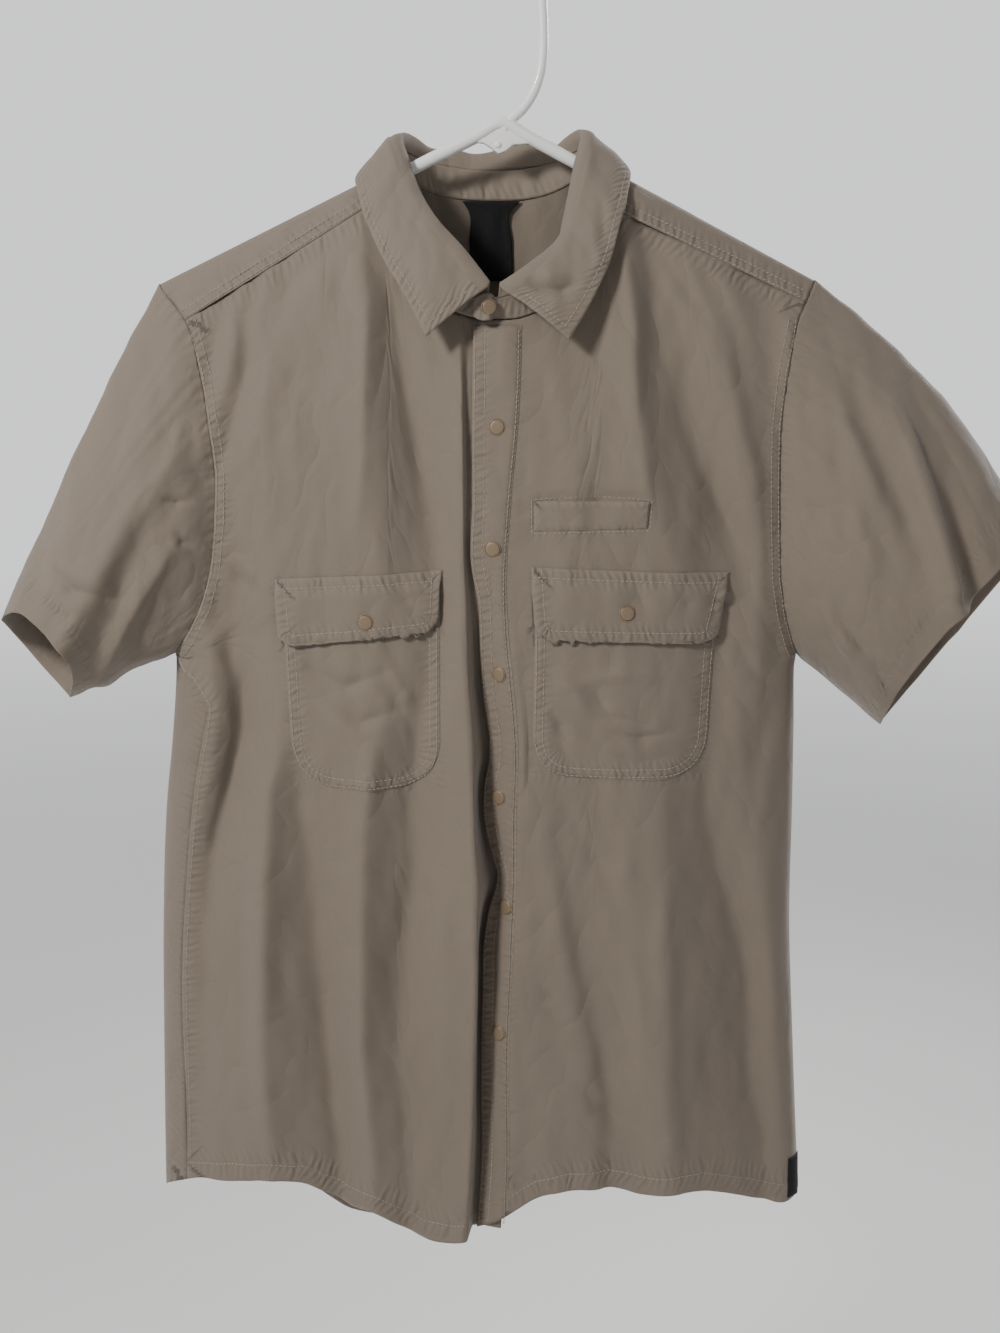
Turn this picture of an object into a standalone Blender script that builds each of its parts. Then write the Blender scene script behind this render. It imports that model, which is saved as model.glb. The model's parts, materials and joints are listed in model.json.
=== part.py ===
"""Short-sleeved snap-front utility shirt hanging on a white plastic tube hanger.

Metres, +Z up. The front faces -Y and +X is to the right of someone who faces it.
The origin is the inner top of the hanger's hook, and the hanger lies in the plane Y = 0.
Tables are in millimetres, with heights from a datum that is HOOK_TOP below the origin.
Right and left in names are the wearer's.
"""
import math

import bmesh
import bpy
import numpy as np
from mathutils import Matrix, Vector
from mathutils.bvhtree import BVHTree

MM = 0.001

# Cloth and seams
WALL = 1.0 * MM
COLLAR_WALL = 1.6 * MM
SEAM_GAP = 0.45 * MM
UNDERLAP_WIDE = 18 * MM
UNDERLAP_FOOT = 2.5 * MM
SLEEVE_GAP = 0.6 * MM
UNDERARM_GAP = 1.2 * MM
UNDERARM_ZONE = -380 * MM
SLEEVE_SWELL = 10 * MM
PLACKET_TOP = -226

# Shoulders: the ridge of the cloth over the hanger's arms
RIDGE_TOP = -85.5 * MM
RIDGE_FALL_LEFT = 0.480
RIDGE_FALL_RIGHT = 0.517
RIDGE_RADIUS = 7.0 * MM
SECTION_POWER = 2.4

# Neck, yoke and underarm
NECK_LEFT = -78 * MM
NECK_RIGHT = 66 * MM
YOKE_BACK = -236 * MM
YOKE_STEPS = 2.6
UNDERARM = -452 * MM

# Body sections: height, left and right extents, front and back depth
SECTIONS = [
    (-80, -300, 290, 52, 42),
    (-150, -292, 276, 52, 42),
    (-250, -272, 250, 54, 43),
    (-350, -248, 226, 56, 44),
    (-452, -232, 208, 58, 45),
    (-505, -236, 209, 58, 45),
    (-562, -243, 210, 58, 46),
    (-650, -249, 211, 58, 47),
    (-733, -252, 216, 58, 48),
    (-835, -255, 223, 58, 48),
    (-940, -257, 231, 58, 48),
]

# Edges of the fronts and back: height and place of each edge
ARMHOLE_FRONT_LEFT = [
    (-190, -237), (-198, -233), (-222, -214), (-255, -205), (-294, -199), (-328, -196),
    (-355, -197), (-389, -201), (-416, -209), (-437, -220), (-452, -232),
]
ARMHOLE_FRONT_RIGHT = [
    (-190, 214), (-197, 211), (-222, 199), (-255, 193), (-294, 189), (-328, 189),
    (-361, 190), (-396, 192), (-423, 197), (-444, 204), (-452, 208),
]
ARMHOLE_BACK_LEFT = [(-190, -237), (-198, -233), (-260, -222), (-340, -217), (-405, -220), (-452, -232)]
ARMHOLE_BACK_RIGHT = [(-190, 214), (-197, 211), (-260, 202), (-340, 197), (-405, 198), (-452, 208)]
SIDE_SEAM_LEFT = [
    (-452, -232), (-466, -216), (-483, -205), (-504, -208), (-536, -215), (-568, -220),
    (-600, -224), (-627, -227), (-683, -232), (-757, -233), (-845, -234), (-940, -235),
]
PLACKET_EDGE = [
    (-190, -19), (-226, -20), (-304, -21), (-343, -21), (-381, -22), (-411, -17), (-442, -16),
    (-476, -14), (-505, -10), (-520, -10), (-535, -13), (-557, -14), (-578, -11), (-593, -7),
    (-606, -4), (-617, -6), (-629, -10), (-645, -13), (-693, -15), (-756, -16), (-819, -16),
    (-852, -18), (-880, -20),
]
# How far the right front lies behind the left one at the placket, by height
UNDERLAP = [
    (-190, 2.6), (-290, 2.6), (-400, 2.8), (-450, 3.8), (-510, 5.0), (-620, 6.0), (-690, 4.8),
    (-770, 3.8), (-900, 3.4),
]
PLACKET_STITCH = [
    (-190, 11), (-233, 11), (-287, 9), (-343, 4), (-401, 1), (-440, 3), (-461, 5),
    (-512, 9), (-560, 8), (-606, 8), (-660, 6), (-740, 3), (-825, 3), (-880, 1),
]

# Top edges: place across and height
NECK_FRONT_LEFT = [(-78, -140), (-75, -156), (-65, -182), (-46, -208), (-20, -221), (0, -222), (20, -222)]
NECK_FRONT_RIGHT = [(-24, -222), (-8, -222), (12, -221), (36, -208), (55, -184), (63, -160), (66, -147)]
YOKE_SEAM_LEFT = [(-214, -222), (-97, -152), (-78, -140)]
YOKE_SEAM_RIGHT = [(66, -147), (82, -154), (202, -209)]
NECK_BACK = -141 * MM
NECK_BACK_POWER = 3.5

# Hems: place across and height
HEM_FRONT_LEFT = [
    (-255, -862), (-234, -845), (-201, -838), (-168, -832), (-144, -836), (-128, -846),
    (-112, -855), (-92, -856), (-74, -868), (-58, -877), (-36, -878), (-20, -873), (10, -870),
]
HEM_FRONT_RIGHT = [
    (-20, -873), (0, -861), (11, -853), (24, -844), (44, -838), (72, -837), (104, -842),
    (124, -840), (146, -842), (170, -852), (196, -864), (212, -867), (224, -862),
]
HEM_BACK = [
    (-257, -864), (-210, -870), (-168, -881), (-112, -911), (-70, -922), (-30, -922), (0, -910),
    (30, -894), (62, -884), (120, -878), (190, -872), (226, -866),
]

# Main folds: a row for each section, with the place and the stand-out of each fold line
FOLD_SOFTNESS = 3.0 * MM
FOLDS_RIGHT_FRONT = [
    # height, then place and stand-out of: side ridge, side valley, outer ridge,
    # outer valley, middle ridge, middle valley, edge ridge
    (-130, -205, 0, -190, 0, -150, 0, -130, 0, -94, 0, -88, 0, -40, 0),
    (-160, -205, 0, -190, 0, -152, 0, -130, 0, -95, 2, -88, -2, -40, 0),
    (-225, -204, 0, -188, 0, -155, 1, -130, 1, -93, 5, -73, -6, -30, 1),
    (-290, -200, 0, -184, 0, -158, 2, -132, 2, -92, 7, -62, -9, -28, 1.5),
    (-366, -200, 0, -184, -2, -160, 2, -134, 2, -86, 7, -50, -9, -27, 1),
    (-412, -204, 5, -186, -6, -160, 2, -140, 2, -84, 4, -46, -7, -26, 2),
    (-450, -202, 9, -188, -9, -160, 2, -144, 2, -84, 3, -48, -6, -25, 5),
    (-495, -198, 10, -185, -9, -156, 3, -142, 1, -82, 3, -58, -6, -22, 8),
    (-524, -203, 9, -190, -8, -158, 5, -145, -2, -88, 4, -60, -7, -21, 10),
    (-584, -217, 6, -205, -6, -163, 9, -141, -8, -96, 6, -60, -8, -19, 13),
    (-656, -226, 2, -214, -3, -168, 10, -133, -10, -99, 7, -70, -8, -18, 13),
    (-745, -229, 0, -216, -1, -170, 11, -126, -12, -100, 7, -74, -8, -20, 10),
    (-811, -230, 0, -217, 0, -167, 10, -120, -12, -94, 6, -70, -7, -23, 9),
    (-880, -231, 0, -218, 0, -165, 9, -118, -11, -90, 6, -66, -6, -27, 8),
]
FOLDS_LEFT_FRONT = [
    # height, then place and stand-out of: placket edge, placket stitch, inner ridge,
    # inner valley, middle ridge, middle valley, outer ridge, outer valley
    (-130, -19, 0, 11, 0, 40, 0, 52, 0, 78, 0, 88, 0, 108, 0, 120, 0),
    (-160, -19, 0, 11, 0, 42, 0, 54, 0, 81, 3, 92, -3, 114, 0, 124, 0),
    (-225, -20, 0, 11, 0, 44, 1, 56, 1, 87, 6, 103, -5, 142, 4, 151, 0),
    (-290, -21, -1, 9, -1, 46, 2, 58, 2, 89, 8, 122, -9, 160, 6, 170, -1),
    (-335, -21, -2, 4, -1, 46, 3, 58, 3, 97, 9, 142, -9, 172, 6, 181, 0),
    (-366, -22, -3, 2, -1, 44, 2, 56, 2, 108, 7, 158, -9, 176, 4, 184, 1),
    (-400, -19, -6, 1, -1, 42, 2, 54, 2, 115, 4, 160, -5, 177, 2, 185, 1),
    (-440, -16, -9, 3, 0, 40, 2, 52, 2, 113, 3, 150, -5, 176, 2, 188, 1),
    (-510, -11, -13, 9, 0, 36, 2, 46, 2, 114, 4, 146, -6, 180, 3, 192, 1),
    (-555, -14, -15, 8, 0, 33, 3, 41, 1, 112, 7, 142, -8, 182, 3, 194, 1),
    (-606, -4, -18, 8, 0, 37, 4, 45, -1, 112, 10, 154, -11, 186, 3, 196, 1),
    (-692, -15, -15, 6, 0, 47, 5, 61, -4, 110, 12, 178, -14, 196, 1, 204, 0),
    (-769, -16, -14, 3, 0, 59, 5, 75, -4, 115, 12, 182, -15, 202, 0, 212, 0),
    (-811, -16, -12, 3, 0, 67, 5, 77, -3, 122, 12, 192, -13, 208, 0, 216, 0),
    (-880, -20, -10, 1, 0, 70, 4, 80, -2, 128, 11, 196, -11, 212, 0, 220, 0),
]
FOLDS_BACK = [
    # height, then place and stand-out of three ridges and the valleys between them
    (-130, -150, 0, -100, 0, -50, 0, 0, 0, 60, 0, 120, 0, 170, 0),
    (-240, -150, 1, -100, -1, -50, 2, 0, 0, 60, 2, 120, -2, 170, 0),
    (-400, -160, 5, -110, -5, -55, 6, 10, -4, 70, 6, 130, -6, 175, 2),
    (-600, -170, 8, -115, -8, -60, 9, 14, -6, 80, 8, 140, -8, 180, 3),
    (-760, -175, 10, -120, -9, -62, 10, 16, -8, 85, 10, 145, -9, 185, 4),
    (-940, -178, 10, -122, -9, -64, 10, 18, -8, 88, 10, 148, -9, 188, 4),
]

# Sleeves: cuff centre, half of its width seen from the front, half of its depth
CUFF_RIGHT = {"centre": (-330, -8, -456), "across": (22, 0, -27), "deep": (-14, 56, -14)}
CUFF_LEFT = {"centre": (320, -8, -438), "across": (-51, 0, -65), "deep": (10, 48, -12)}
# How far a sleeve's upper edge bows out between the shoulder and the cuff
SLEEVE_BOW = {"right": (-3, 0, 2), "left": (11, 0, 10)}
CUFF_SQUARENESS = 0.85
# Sleeve folds: across, height, stand-out and half width at each end of the fold
SLEEVE_FOLDS_RIGHT = [
    [(-236, -330, 0, 8), (-262, -392, 7, 12), (-292, -452, 8, 14)],
    [(-300, -300, 0, 8), (-322, -380, 4, 10), (-330, -420, 4, 10)],
]
SLEEVE_FOLDS_LEFT = [
    [(268, -250, 0, 8), (290, -320, 12, 11), (314, -410, 13, 12), (322, -436, 6, 10)],
    [(222, -215, 0, 8), (238, -290, 6, 10), (262, -345, 4, 10), (280, -390, 0, 8)],
    [(212, -400, 0, 8), (246, -452, 7, 10), (272, -486, 6, 10)],
]

# Collar: share of the way round the neck, then the fold line and the outer edge
COLLAR = [
    (0.00, -9, -46, -199, -50, -55, -233),
    (0.08, -25, -42, -179, -65, -50, -205),
    (0.17, -44, -33, -158, -78, -41, -184),
    (0.25, -55, -22, -140, -87, -31, -165),
    (0.32, -63, -8, -119, -94, -21, -147),
    (0.37, -67, 4, -102, -98, 3, -126),
    (0.42, -52, 24, -103, -78, 32, -136),
    (0.50, -8, 34, -107, -8, 46, -146),
    (0.58, 36, 26, -103, 60, 33, -138),
    (0.63, 52, 5, -100, 84, 4, -122),
    (0.68, 48, -8, -122, 82, -20, -142),
    (0.75, 41, -22, -156, 77, -32, -160),
    (0.84, 35, -33, -173, 70, -41, -184),
    (0.92, 15, -41, -189, 58, -50, -210),
    (1.00, -2, -45, -200, 43, -55, -235),
]
STAND_SHARE = 0.60
STAND_STEP = 0.09
STAND_RAISE = 2.4 * MM
# The stand's front end, which laps over: across, depth, foot and top
STAND_END = [(-9, -46, -222.5, -205), (-15, -46, -222.5, -206), (-19.5, -45.5, -220, -209)]
SIDE_SHARE = 0.37
COLLAR_SIDE = 10
COLLAR_BACK = 10
COLLAR_CROWN = 3 * MM
COLLAR_TURN = 4 * MM

# Pockets, flaps and welt: outline corners across and height, with the corner radius
POCKETS = {
    "pocket_right": [(-150, -408, 2), (-145, -539, 34), (-43, -539, 34), (-43, -406, 2)],
    "pocket_left": [(22, -404, 2), (20, -530, 30), (141, -533, 32), (147, -408, 2)],
}
FLAPS = {
    "flap_right": [(-155, -394, 2), (-152, -439, 10), (-43, -430, 14), (-41, -388, 2)],
    "flap_left": [(19, -385, 2), (22, -434, 12), (145, -438, 10), (155, -391, 2)],
}
PEN_WELT = [(21, -341, 1), (21, -361, 1), (97, -359, 1), (98, -341, 1)]
FLAP_LIFT = 2.6 * MM
POCKET_LIFT = 0.8 * MM

# Snaps: place of each cap, across and height
SNAP_RADIUS = 5.65 * MM
SNAP_THICK = 2.2 * MM
SNAP_SEAT = 0.5 * MM
FRONT_SNAPS = [(-9, -214), (-4, -292), (-7, -373), (-3, -459), (-3, -546), (2, -626), (-3, -719)]
POCKET_SNAPS = {"snap_pocket_right": (-93, -422), "snap_pocket_left": (84, -416)}

# Labels, both bare
NECK_LABEL = [(-141, -28, 12), (-147, -24, 6), (-168, -23, 6), (-194, -22, 7)]
NECK_LABEL_LIFT = 2.2 * MM
SIDE_LABEL = [(213, -833, 0.5), (213, -864, 0.5), (222, -864, 0.5), (222, -833, 0.5)]

# Hanger
TUBE_RADIUS = 4.3 * MM
TUBE_SEAT = 1.7 * MM
ARM_END_LEFT = -204 * MM
ARM_END_RIGHT = 184 * MM
END_TURN = 11 * MM
HOOK_TOP = 20 * MM
HOOK_RADIUS = 25.5 * MM
HOOK_STEM = [(0.6, -97.4), (5, -91.3), (13, -84), (20, -74), (24.5, -62), (26.5, -48), (26.5, -30), (25.7, -14)]
HOOK_ROUND = 197
HOOK_TUBE = 3.4 * MM
WEB_THICK = 5.0 * MM
WEB_OUTLINE = [
    (-30, -104), (-13, -106), (-8, -109), (-3, -113), (2, -111), (7, -107), (22, -106),
    (12, -97), (0, -91), (-14, -96),
]

# Colours
CLOTH_COLOUR = (0.235, 0.200, 0.158)
SNAP_COLOUR = (0.215, 0.165, 0.115)
HANGER_COLOUR = (0.83, 0.83, 0.80)
LABEL_COLOUR = (0.012, 0.012, 0.013)

# Grid sizes
PLACKET_COLUMNS = 6
FRONT_ROWS = 27
BACK_COLUMNS = 19
BACK_ROWS = 18
SLEEVE_ROWS = 9
FINE = 60


def start():
    for thing in list(bpy.data.objects):
        bpy.data.objects.remove(thing)
    parts = bpy.data.collections.new("utility_shirt_on_hanger")
    cutters = bpy.data.collections.new("cutters")
    bpy.context.scene.collection.children.link(parts)
    bpy.context.scene.collection.children.link(cutters)
    return parts, cutters


def material(name, colour, roughness, metallic=0.0):
    made = bpy.data.materials.new(name)
    made.use_nodes = True
    shader = made.node_tree.nodes["Principled BSDF"]
    shader.inputs["Base Color"].default_value = (*colour, 1)
    shader.inputs["Roughness"].default_value = roughness
    shader.inputs["Metallic"].default_value = metallic
    return made


# Curves through tables

def along(rows, place):
    """The values of a table at a place: a smooth curve through its rows, in metres."""
    table = np.array(sorted(rows), float) * MM
    at, values = table[:, 0], table[:, 1:]
    slopes = np.gradient(values, at, axis=0)
    place = np.asarray(place, float)
    i = np.clip(np.searchsorted(at, place) - 1, 0, len(at) - 2)
    step = at[i + 1] - at[i]
    t = np.clip((place - at[i]) / step, 0, 1)[..., None]
    step = step[..., None]
    start_part = (1 + 2 * t) * (1 - t) ** 2 * values[i] + t * (1 - t) ** 2 * step * slopes[i]
    end_part = t * t * (3 - 2 * t) * values[i + 1] + t * t * (t - 1) * step * slopes[i + 1]
    return start_part + end_part


def one(rows, place):
    return along(rows, place)[..., 0]


def soft_ramp(distance, softness):
    return 0.5 * (distance + np.sqrt(distance**2 + 4 * softness**2))


def folded(rows, x, z):
    """How far the cloth stands out at x and z, with planes between soft fold lines."""
    values = along(rows, z)
    places, out = values[..., 0::2], values[..., 1::2]
    slopes = np.diff(out, axis=-1) / np.maximum(np.diff(places, axis=-1), MM)
    edge = np.zeros_like(out[..., :1])
    turns = np.diff(np.concatenate([edge, slopes, edge], axis=-1), axis=-1)
    ramps = soft_ramp(np.asarray(x)[..., None] - places, FOLD_SOFTNESS)
    return out[..., 0] + (turns * ramps).sum(axis=-1)


def stroke(rows, x, z):
    """A local fold along a short path: a ridge on one side of it and a valley on the other."""
    path = np.array(rows, float) * MM
    best = np.full(np.shape(x), np.inf)
    height = np.zeros(np.shape(x))
    for a, b in zip(path[:-1], path[1:]):
        run = b[:2] - a[:2]
        length = np.hypot(*run)
        share = ((x - a[0]) * run[0] + (z - a[1]) * run[1]) / length**2
        t = np.clip(share, 0, 1)
        away = np.hypot(x - a[0] - t * run[0], z - a[1] - t * run[1])
        side = ((x - a[0]) * -run[1] + (z - a[1]) * run[0]) / length
        width = a[3] + (b[3] - a[3]) * t
        out = a[2] + (b[2] - a[2]) * t
        q = side / width
        value = -out * 1.65 * q * np.exp(-q * q) * np.exp(-((away - abs(side)) / width) ** 2)
        nearer = away < best
        height = np.where(nearer, value, height)
        best = np.minimum(best, away)
    return height


# The garment's surfaces

def ridge_height(x):
    return RIDGE_TOP - RIDGE_FALL_LEFT * np.maximum(-x, 0) - RIDGE_FALL_RIGHT * np.maximum(x, 0)


def hang(x, z, most):
    """The depth that the cloth has reached at z, below the ridge that it hangs from."""
    drop = np.maximum(ridge_height(x) - z, 0)
    return most * np.sqrt(1 - np.exp(-2 * RIDGE_RADIUS * drop / most**2))


def roundness(x, z):
    left, right = along(SECTIONS, z)[..., :2].T
    middle, half = (left + right).T / 2, (right - left).T / 2
    q = np.clip(np.abs((x - middle) / half), 0, 1)
    return (1 - q**SECTION_POWER) ** (1 / SECTION_POWER)


def front_base(x, z):
    return -hang(x, z, along(SECTIONS, z)[..., 2]) * roundness(x, z)


def left_front_y(x, z):
    return front_base(x, z) - folded(FOLDS_LEFT_FRONT, x, z) * side_fade(x, z)


def right_front_y(x, z):
    """The viewer's left front, which turns under at its edge and passes behind the placket."""
    own = front_base(x, z) - folded(FOLDS_RIGHT_FRONT, x, z) * side_fade(x, z)
    under = left_front_y(x, z) + one(UNDERLAP, z)
    ridge = along(FOLDS_RIGHT_FRONT, z)[..., -2]
    foot = one(PLACKET_EDGE, z) - UNDERLAP_FOOT
    t = np.clip((x - ridge) / np.maximum(foot - ridge, MM), 0, 1)
    t = t * t * (3 - 2 * t)
    return own * (1 - t) + under * t


def side_fade(x, z):
    """Folds flatten towards the side seams, where front meets back."""
    left, right = along(SECTIONS, z)[..., :2].T
    near = np.minimum((x - left.T), (right.T - x)) / (12 * MM)
    near = np.clip(near, 0, 1)
    return near * near * (3 - 2 * near)


def back_y(x, z):
    base = hang(x, z, along(SECTIONS, z)[..., 3]) * roundness(x, z)
    return base + folded(FOLDS_BACK, x, z) * side_fade(x, z)


def points(x, y, z):
    return np.stack(np.broadcast_arrays(x, y, z), axis=-1)


def spread(line, count):
    """The line again, with points at even steps along it."""
    steps = np.linalg.norm(np.diff(line, axis=0), axis=1)
    run = np.concatenate([[0], np.cumsum(steps)])
    at = np.linspace(0, run[-1], count)
    return np.stack([np.interp(at, run, line[:, k]) for k in range(3)], axis=1)


def front_edge(armhole, seam, z):
    return np.where(z > UNDERARM, one(armhole, z), one(seam, z))


def front_frame(side):
    """What one front is drawn from: its lines down the panel, its top edges, hem and depth."""
    if side == "right":
        seam_end = YOKE_SEAM_LEFT[0][1] * MM
        corner = (NECK_LEFT, -76 * MM)
        lines = [
            (lambda z: one(PLACKET_EDGE, z) + UNDERLAP_WIDE, 3),
            (lambda z: one(PLACKET_EDGE, z) - UNDERLAP_FOOT, 4),
            (lambda z: along(FOLDS_RIGHT_FRONT, z)[..., -2], 5),
            (None, 10),
            (lambda z: front_edge(ARMHOLE_FRONT_LEFT, SIDE_SEAM_LEFT, z) + SEAM_GAP, 0),
        ]
        return lines, corner, seam_end, NECK_FRONT_LEFT, YOKE_SEAM_LEFT, HEM_FRONT_LEFT, right_front_y
    seam_end = YOKE_SEAM_RIGHT[-1][1] * MM
    corner = (NECK_RIGHT, 64 * MM)
    lines = [
        (lambda z: one(PLACKET_EDGE, z) + 0.5 * MM, 4),
        (lambda z: one(PLACKET_STITCH, z) + 2 * MM, 4),
        (None, 10),
        (lambda z: left_front_edge(z) - 0.1 * MM, 0),
    ]
    return lines, corner, seam_end, NECK_FRONT_RIGHT, YOKE_SEAM_RIGHT, HEM_FRONT_RIGHT, left_front_y


def left_front_edge(z):
    return np.where(z > UNDERARM, one(ARMHOLE_FRONT_RIGHT, z), along(SECTIONS, z)[..., 1])


def row_shares(top, low):
    """Even shares down a panel, with one row exactly at the underarm."""
    above = (top - UNDERARM) / (top - low)
    first = round(FRONT_ROWS * above)
    return np.concatenate([
        np.linspace(0, above, first),
        np.linspace(above, 1, FRONT_ROWS - first + 1)[1:],
    ])


def front_grid(side):
    """Rows of points from the centre of one front to its armhole and side seam."""
    lines, corner, seam_end, neck, yoke, hem, depth = front_frame(side)
    top_at, low_at = np.array(-0.221), np.array(-0.86)

    def place_on(index, z, level):
        line = lines[index][0]
        if line is None:
            return np.full_like(z, corner[0]) + (corner[1] - corner[0]) * level
        return line(np.minimum(z, top_at if index < len(lines) - 1 else seam_end))

    hem_edge = float(one(hem, place_on(len(lines) - 1, low_at, 1)))
    rows = []
    for t in row_shares(seam_end - SEAM_GAP, hem_edge):
        row = []
        for index, (_, count) in enumerate(lines[:-1]):
            q = np.linspace(0, 1, FINE)
            top = [place_on(k, np.full(FINE, top_at if k < len(lines) - 1 else seam_end), 0)
                   for k in (index, index + 1)]
            low = [place_on(k, np.full(FINE, low_at), 1) for k in (index, index + 1)]
            top_x = top[0] + (top[1] - top[0]) * q
            low_x = low[0] + (low[1] - low[0]) * q
            edge_table = yoke if index == len(lines) - 2 else neck
            top_z = one(edge_table, top_x) - SEAM_GAP
            z = top_z + (one(hem, low_x) - top_z) * t
            x = place_on(index, z, t)
            x = x + (place_on(index + 1, z, t) - x) * q
            line = points(x, depth(x, z), z)
            if index == len(lines) - 2 and line[-1, 2] <= UNDERARM + 0.1 * MM:
                line[:, 1] = np.minimum(line[:, 1], -SEAM_GAP)
            part = spread(line, count + 1)
            row.extend(part if not row else part[1:])
        rows.append(row)
    grid = np.array(rows)
    return grid if side == "right" else grid[:, ::-1]


def back_grid():
    """Rows of points from the right side, round the back and round to the left side seam."""
    rows = []
    top = YOKE_BACK - SEAM_GAP
    above = (top - UNDERARM) / (top + 0.864)
    first = round(BACK_ROWS * above)
    shares = [*np.linspace(0, above, first), *np.linspace(above, 1, BACK_ROWS - first + 1)[1:]]
    for t in shares:
        share = np.linspace(0, 1, 2 * FINE)
        low = one(HEM_BACK, 0.226 + (-0.257 - 0.226) * share)
        z = top + (low - top) * t
        right = np.where(z > UNDERARM, one(ARMHOLE_BACK_RIGHT, z), along(SECTIONS, z)[..., 1])
        left = np.where(z > UNDERARM, one(ARMHOLE_BACK_LEFT, z), along(SECTIONS, z)[..., 0])
        x = right + (left - right) * share
        line = points(x, np.maximum(back_y(x, z), SEAM_GAP), z)
        if z[-1] < UNDERARM - MM:
            end = line[-1]
            hem_rise = one(HEM_FRONT_LEFT, np.array(-0.234)) + 0.864
            turn_z = end[2] + hem_rise * t * share
            seam_x = one(SIDE_SEAM_LEFT, turn_z) - SEAM_GAP
            turn_x = left[-1] + (seam_x - left[-1]) * share**2
            turn = points(turn_x, front_base(turn_x, turn_z), turn_z)
            line = np.concatenate([line, turn[1:]])
        rows.append(spread(line, BACK_COLUMNS + 3))
    return np.array(rows)


def sleeve_ring(side, front, back, yoke):
    """The sleeve's end at the armhole, on the panels' own points: down the front, up the back."""
    edge = 0 if side == "left" else -1
    middle = len(yoke) // 2
    down = [*yoke[middle:, -1], *[p for p in front[1:, edge] if p[2] > UNDERARM + MM]]
    x = -232 * MM if side == "right" else 208 * MM
    low = np.array((x, 0, UNDERARM))
    column = 0 if side == "left" else -1
    up = [p for p in back[1:, column] if p[2] > UNDERARM + MM][::-1]
    return np.array([*down, low, *up, *yoke[:middle, -1]])


def cuff_ring(cuff, angle):
    centre, across, deep = (np.array(cuff[k]) * MM for k in ("centre", "across", "deep"))
    c, s = np.cos(angle), np.sin(angle)
    c = np.sign(c) * np.abs(c) ** CUFF_SQUARENESS
    s = np.sign(s) * np.abs(s) ** CUFF_SQUARENESS
    return centre - across * c[:, None] - deep * s[:, None]


def sleeve_grid(side, front, back, yoke):
    cuff, folds = (CUFF_RIGHT, SLEEVE_FOLDS_RIGHT) if side == "right" else (CUFF_LEFT, SLEEVE_FOLDS_LEFT)
    first = sleeve_ring(side, front, back, yoke)
    closed = np.concatenate([first, first[:1]])
    run = np.concatenate([[0], np.cumsum(np.linalg.norm(np.diff(closed, axis=0), axis=1))])
    angle = 2 * math.pi * run[:-1] / run[-1]
    last = cuff_ring(cuff, angle)
    way = last - first
    low = np.clip((UNDERARM_ZONE - first[:, 2]) / (UNDERARM_ZONE - UNDERARM), 0, 1)
    gap = SLEEVE_GAP + UNDERARM_GAP * low
    first = first + (gap / np.linalg.norm(way, axis=1))[:, None] * way
    first[:, 0] += np.sign(last[0, 0] - first[0, 0]) * gap
    rows = []
    for t in np.linspace(0, 1, SLEEVE_ROWS):
        ring = first + (last - first) * t
        ring[:, 1] -= SLEEVE_SWELL * math.sin(math.pi * t) * np.sin(angle)
        upper = np.maximum(np.cos(angle), 0)[:, None] ** 2
        ring += upper * math.sin(math.pi * t) * np.array(SLEEVE_BOW[side]) * MM
        fade = min(t / 0.12, 1)
        for fold in folds:
            out = stroke(fold, ring[:, 0], ring[:, 2]) * fade
            ring[:, 1] -= out * np.sin(angle)
        rows.append(ring)
    return np.array(rows)


def neckline():
    """The neck's edge in three runs: left front, back and right front, meeting on the ridges."""
    x = np.linspace(-12 * MM, NECK_LEFT, FINE)
    z = one(NECK_FRONT_LEFT, x)
    left = points(x, front_base(x, z), z)
    turn = np.linspace(one(NECK_FRONT_LEFT, NECK_LEFT), ridge_height(NECK_LEFT), FINE)
    left = np.concatenate([left, points(NECK_LEFT, -hang(NECK_LEFT, turn, 0.052), turn)[1:]])
    x = NECK_LEFT + (NECK_RIGHT - NECK_LEFT) * np.linspace(0, 1, 2 * FINE)
    z = neck_back_height(x)
    back = points(x, hang(x, z, 0.042) * roundness(x, z), z)
    turn = np.linspace(ridge_height(NECK_RIGHT), one(NECK_FRONT_RIGHT, NECK_RIGHT), FINE)
    right = points(NECK_RIGHT, -hang(NECK_RIGHT, turn, 0.052), turn)
    x = np.linspace(NECK_RIGHT, -6 * MM, FINE)
    z = one(NECK_FRONT_RIGHT, x)
    return left, back, np.concatenate([right, points(x, front_base(x, z), z)[1:]])


def neck_back_height(x):
    middle, half = (NECK_LEFT + NECK_RIGHT) / 2, (NECK_RIGHT - NECK_LEFT) / 2
    q = np.abs((x - middle) / half) ** NECK_BACK_POWER
    return NECK_BACK + (ridge_height(x) - NECK_BACK) * q


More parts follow.
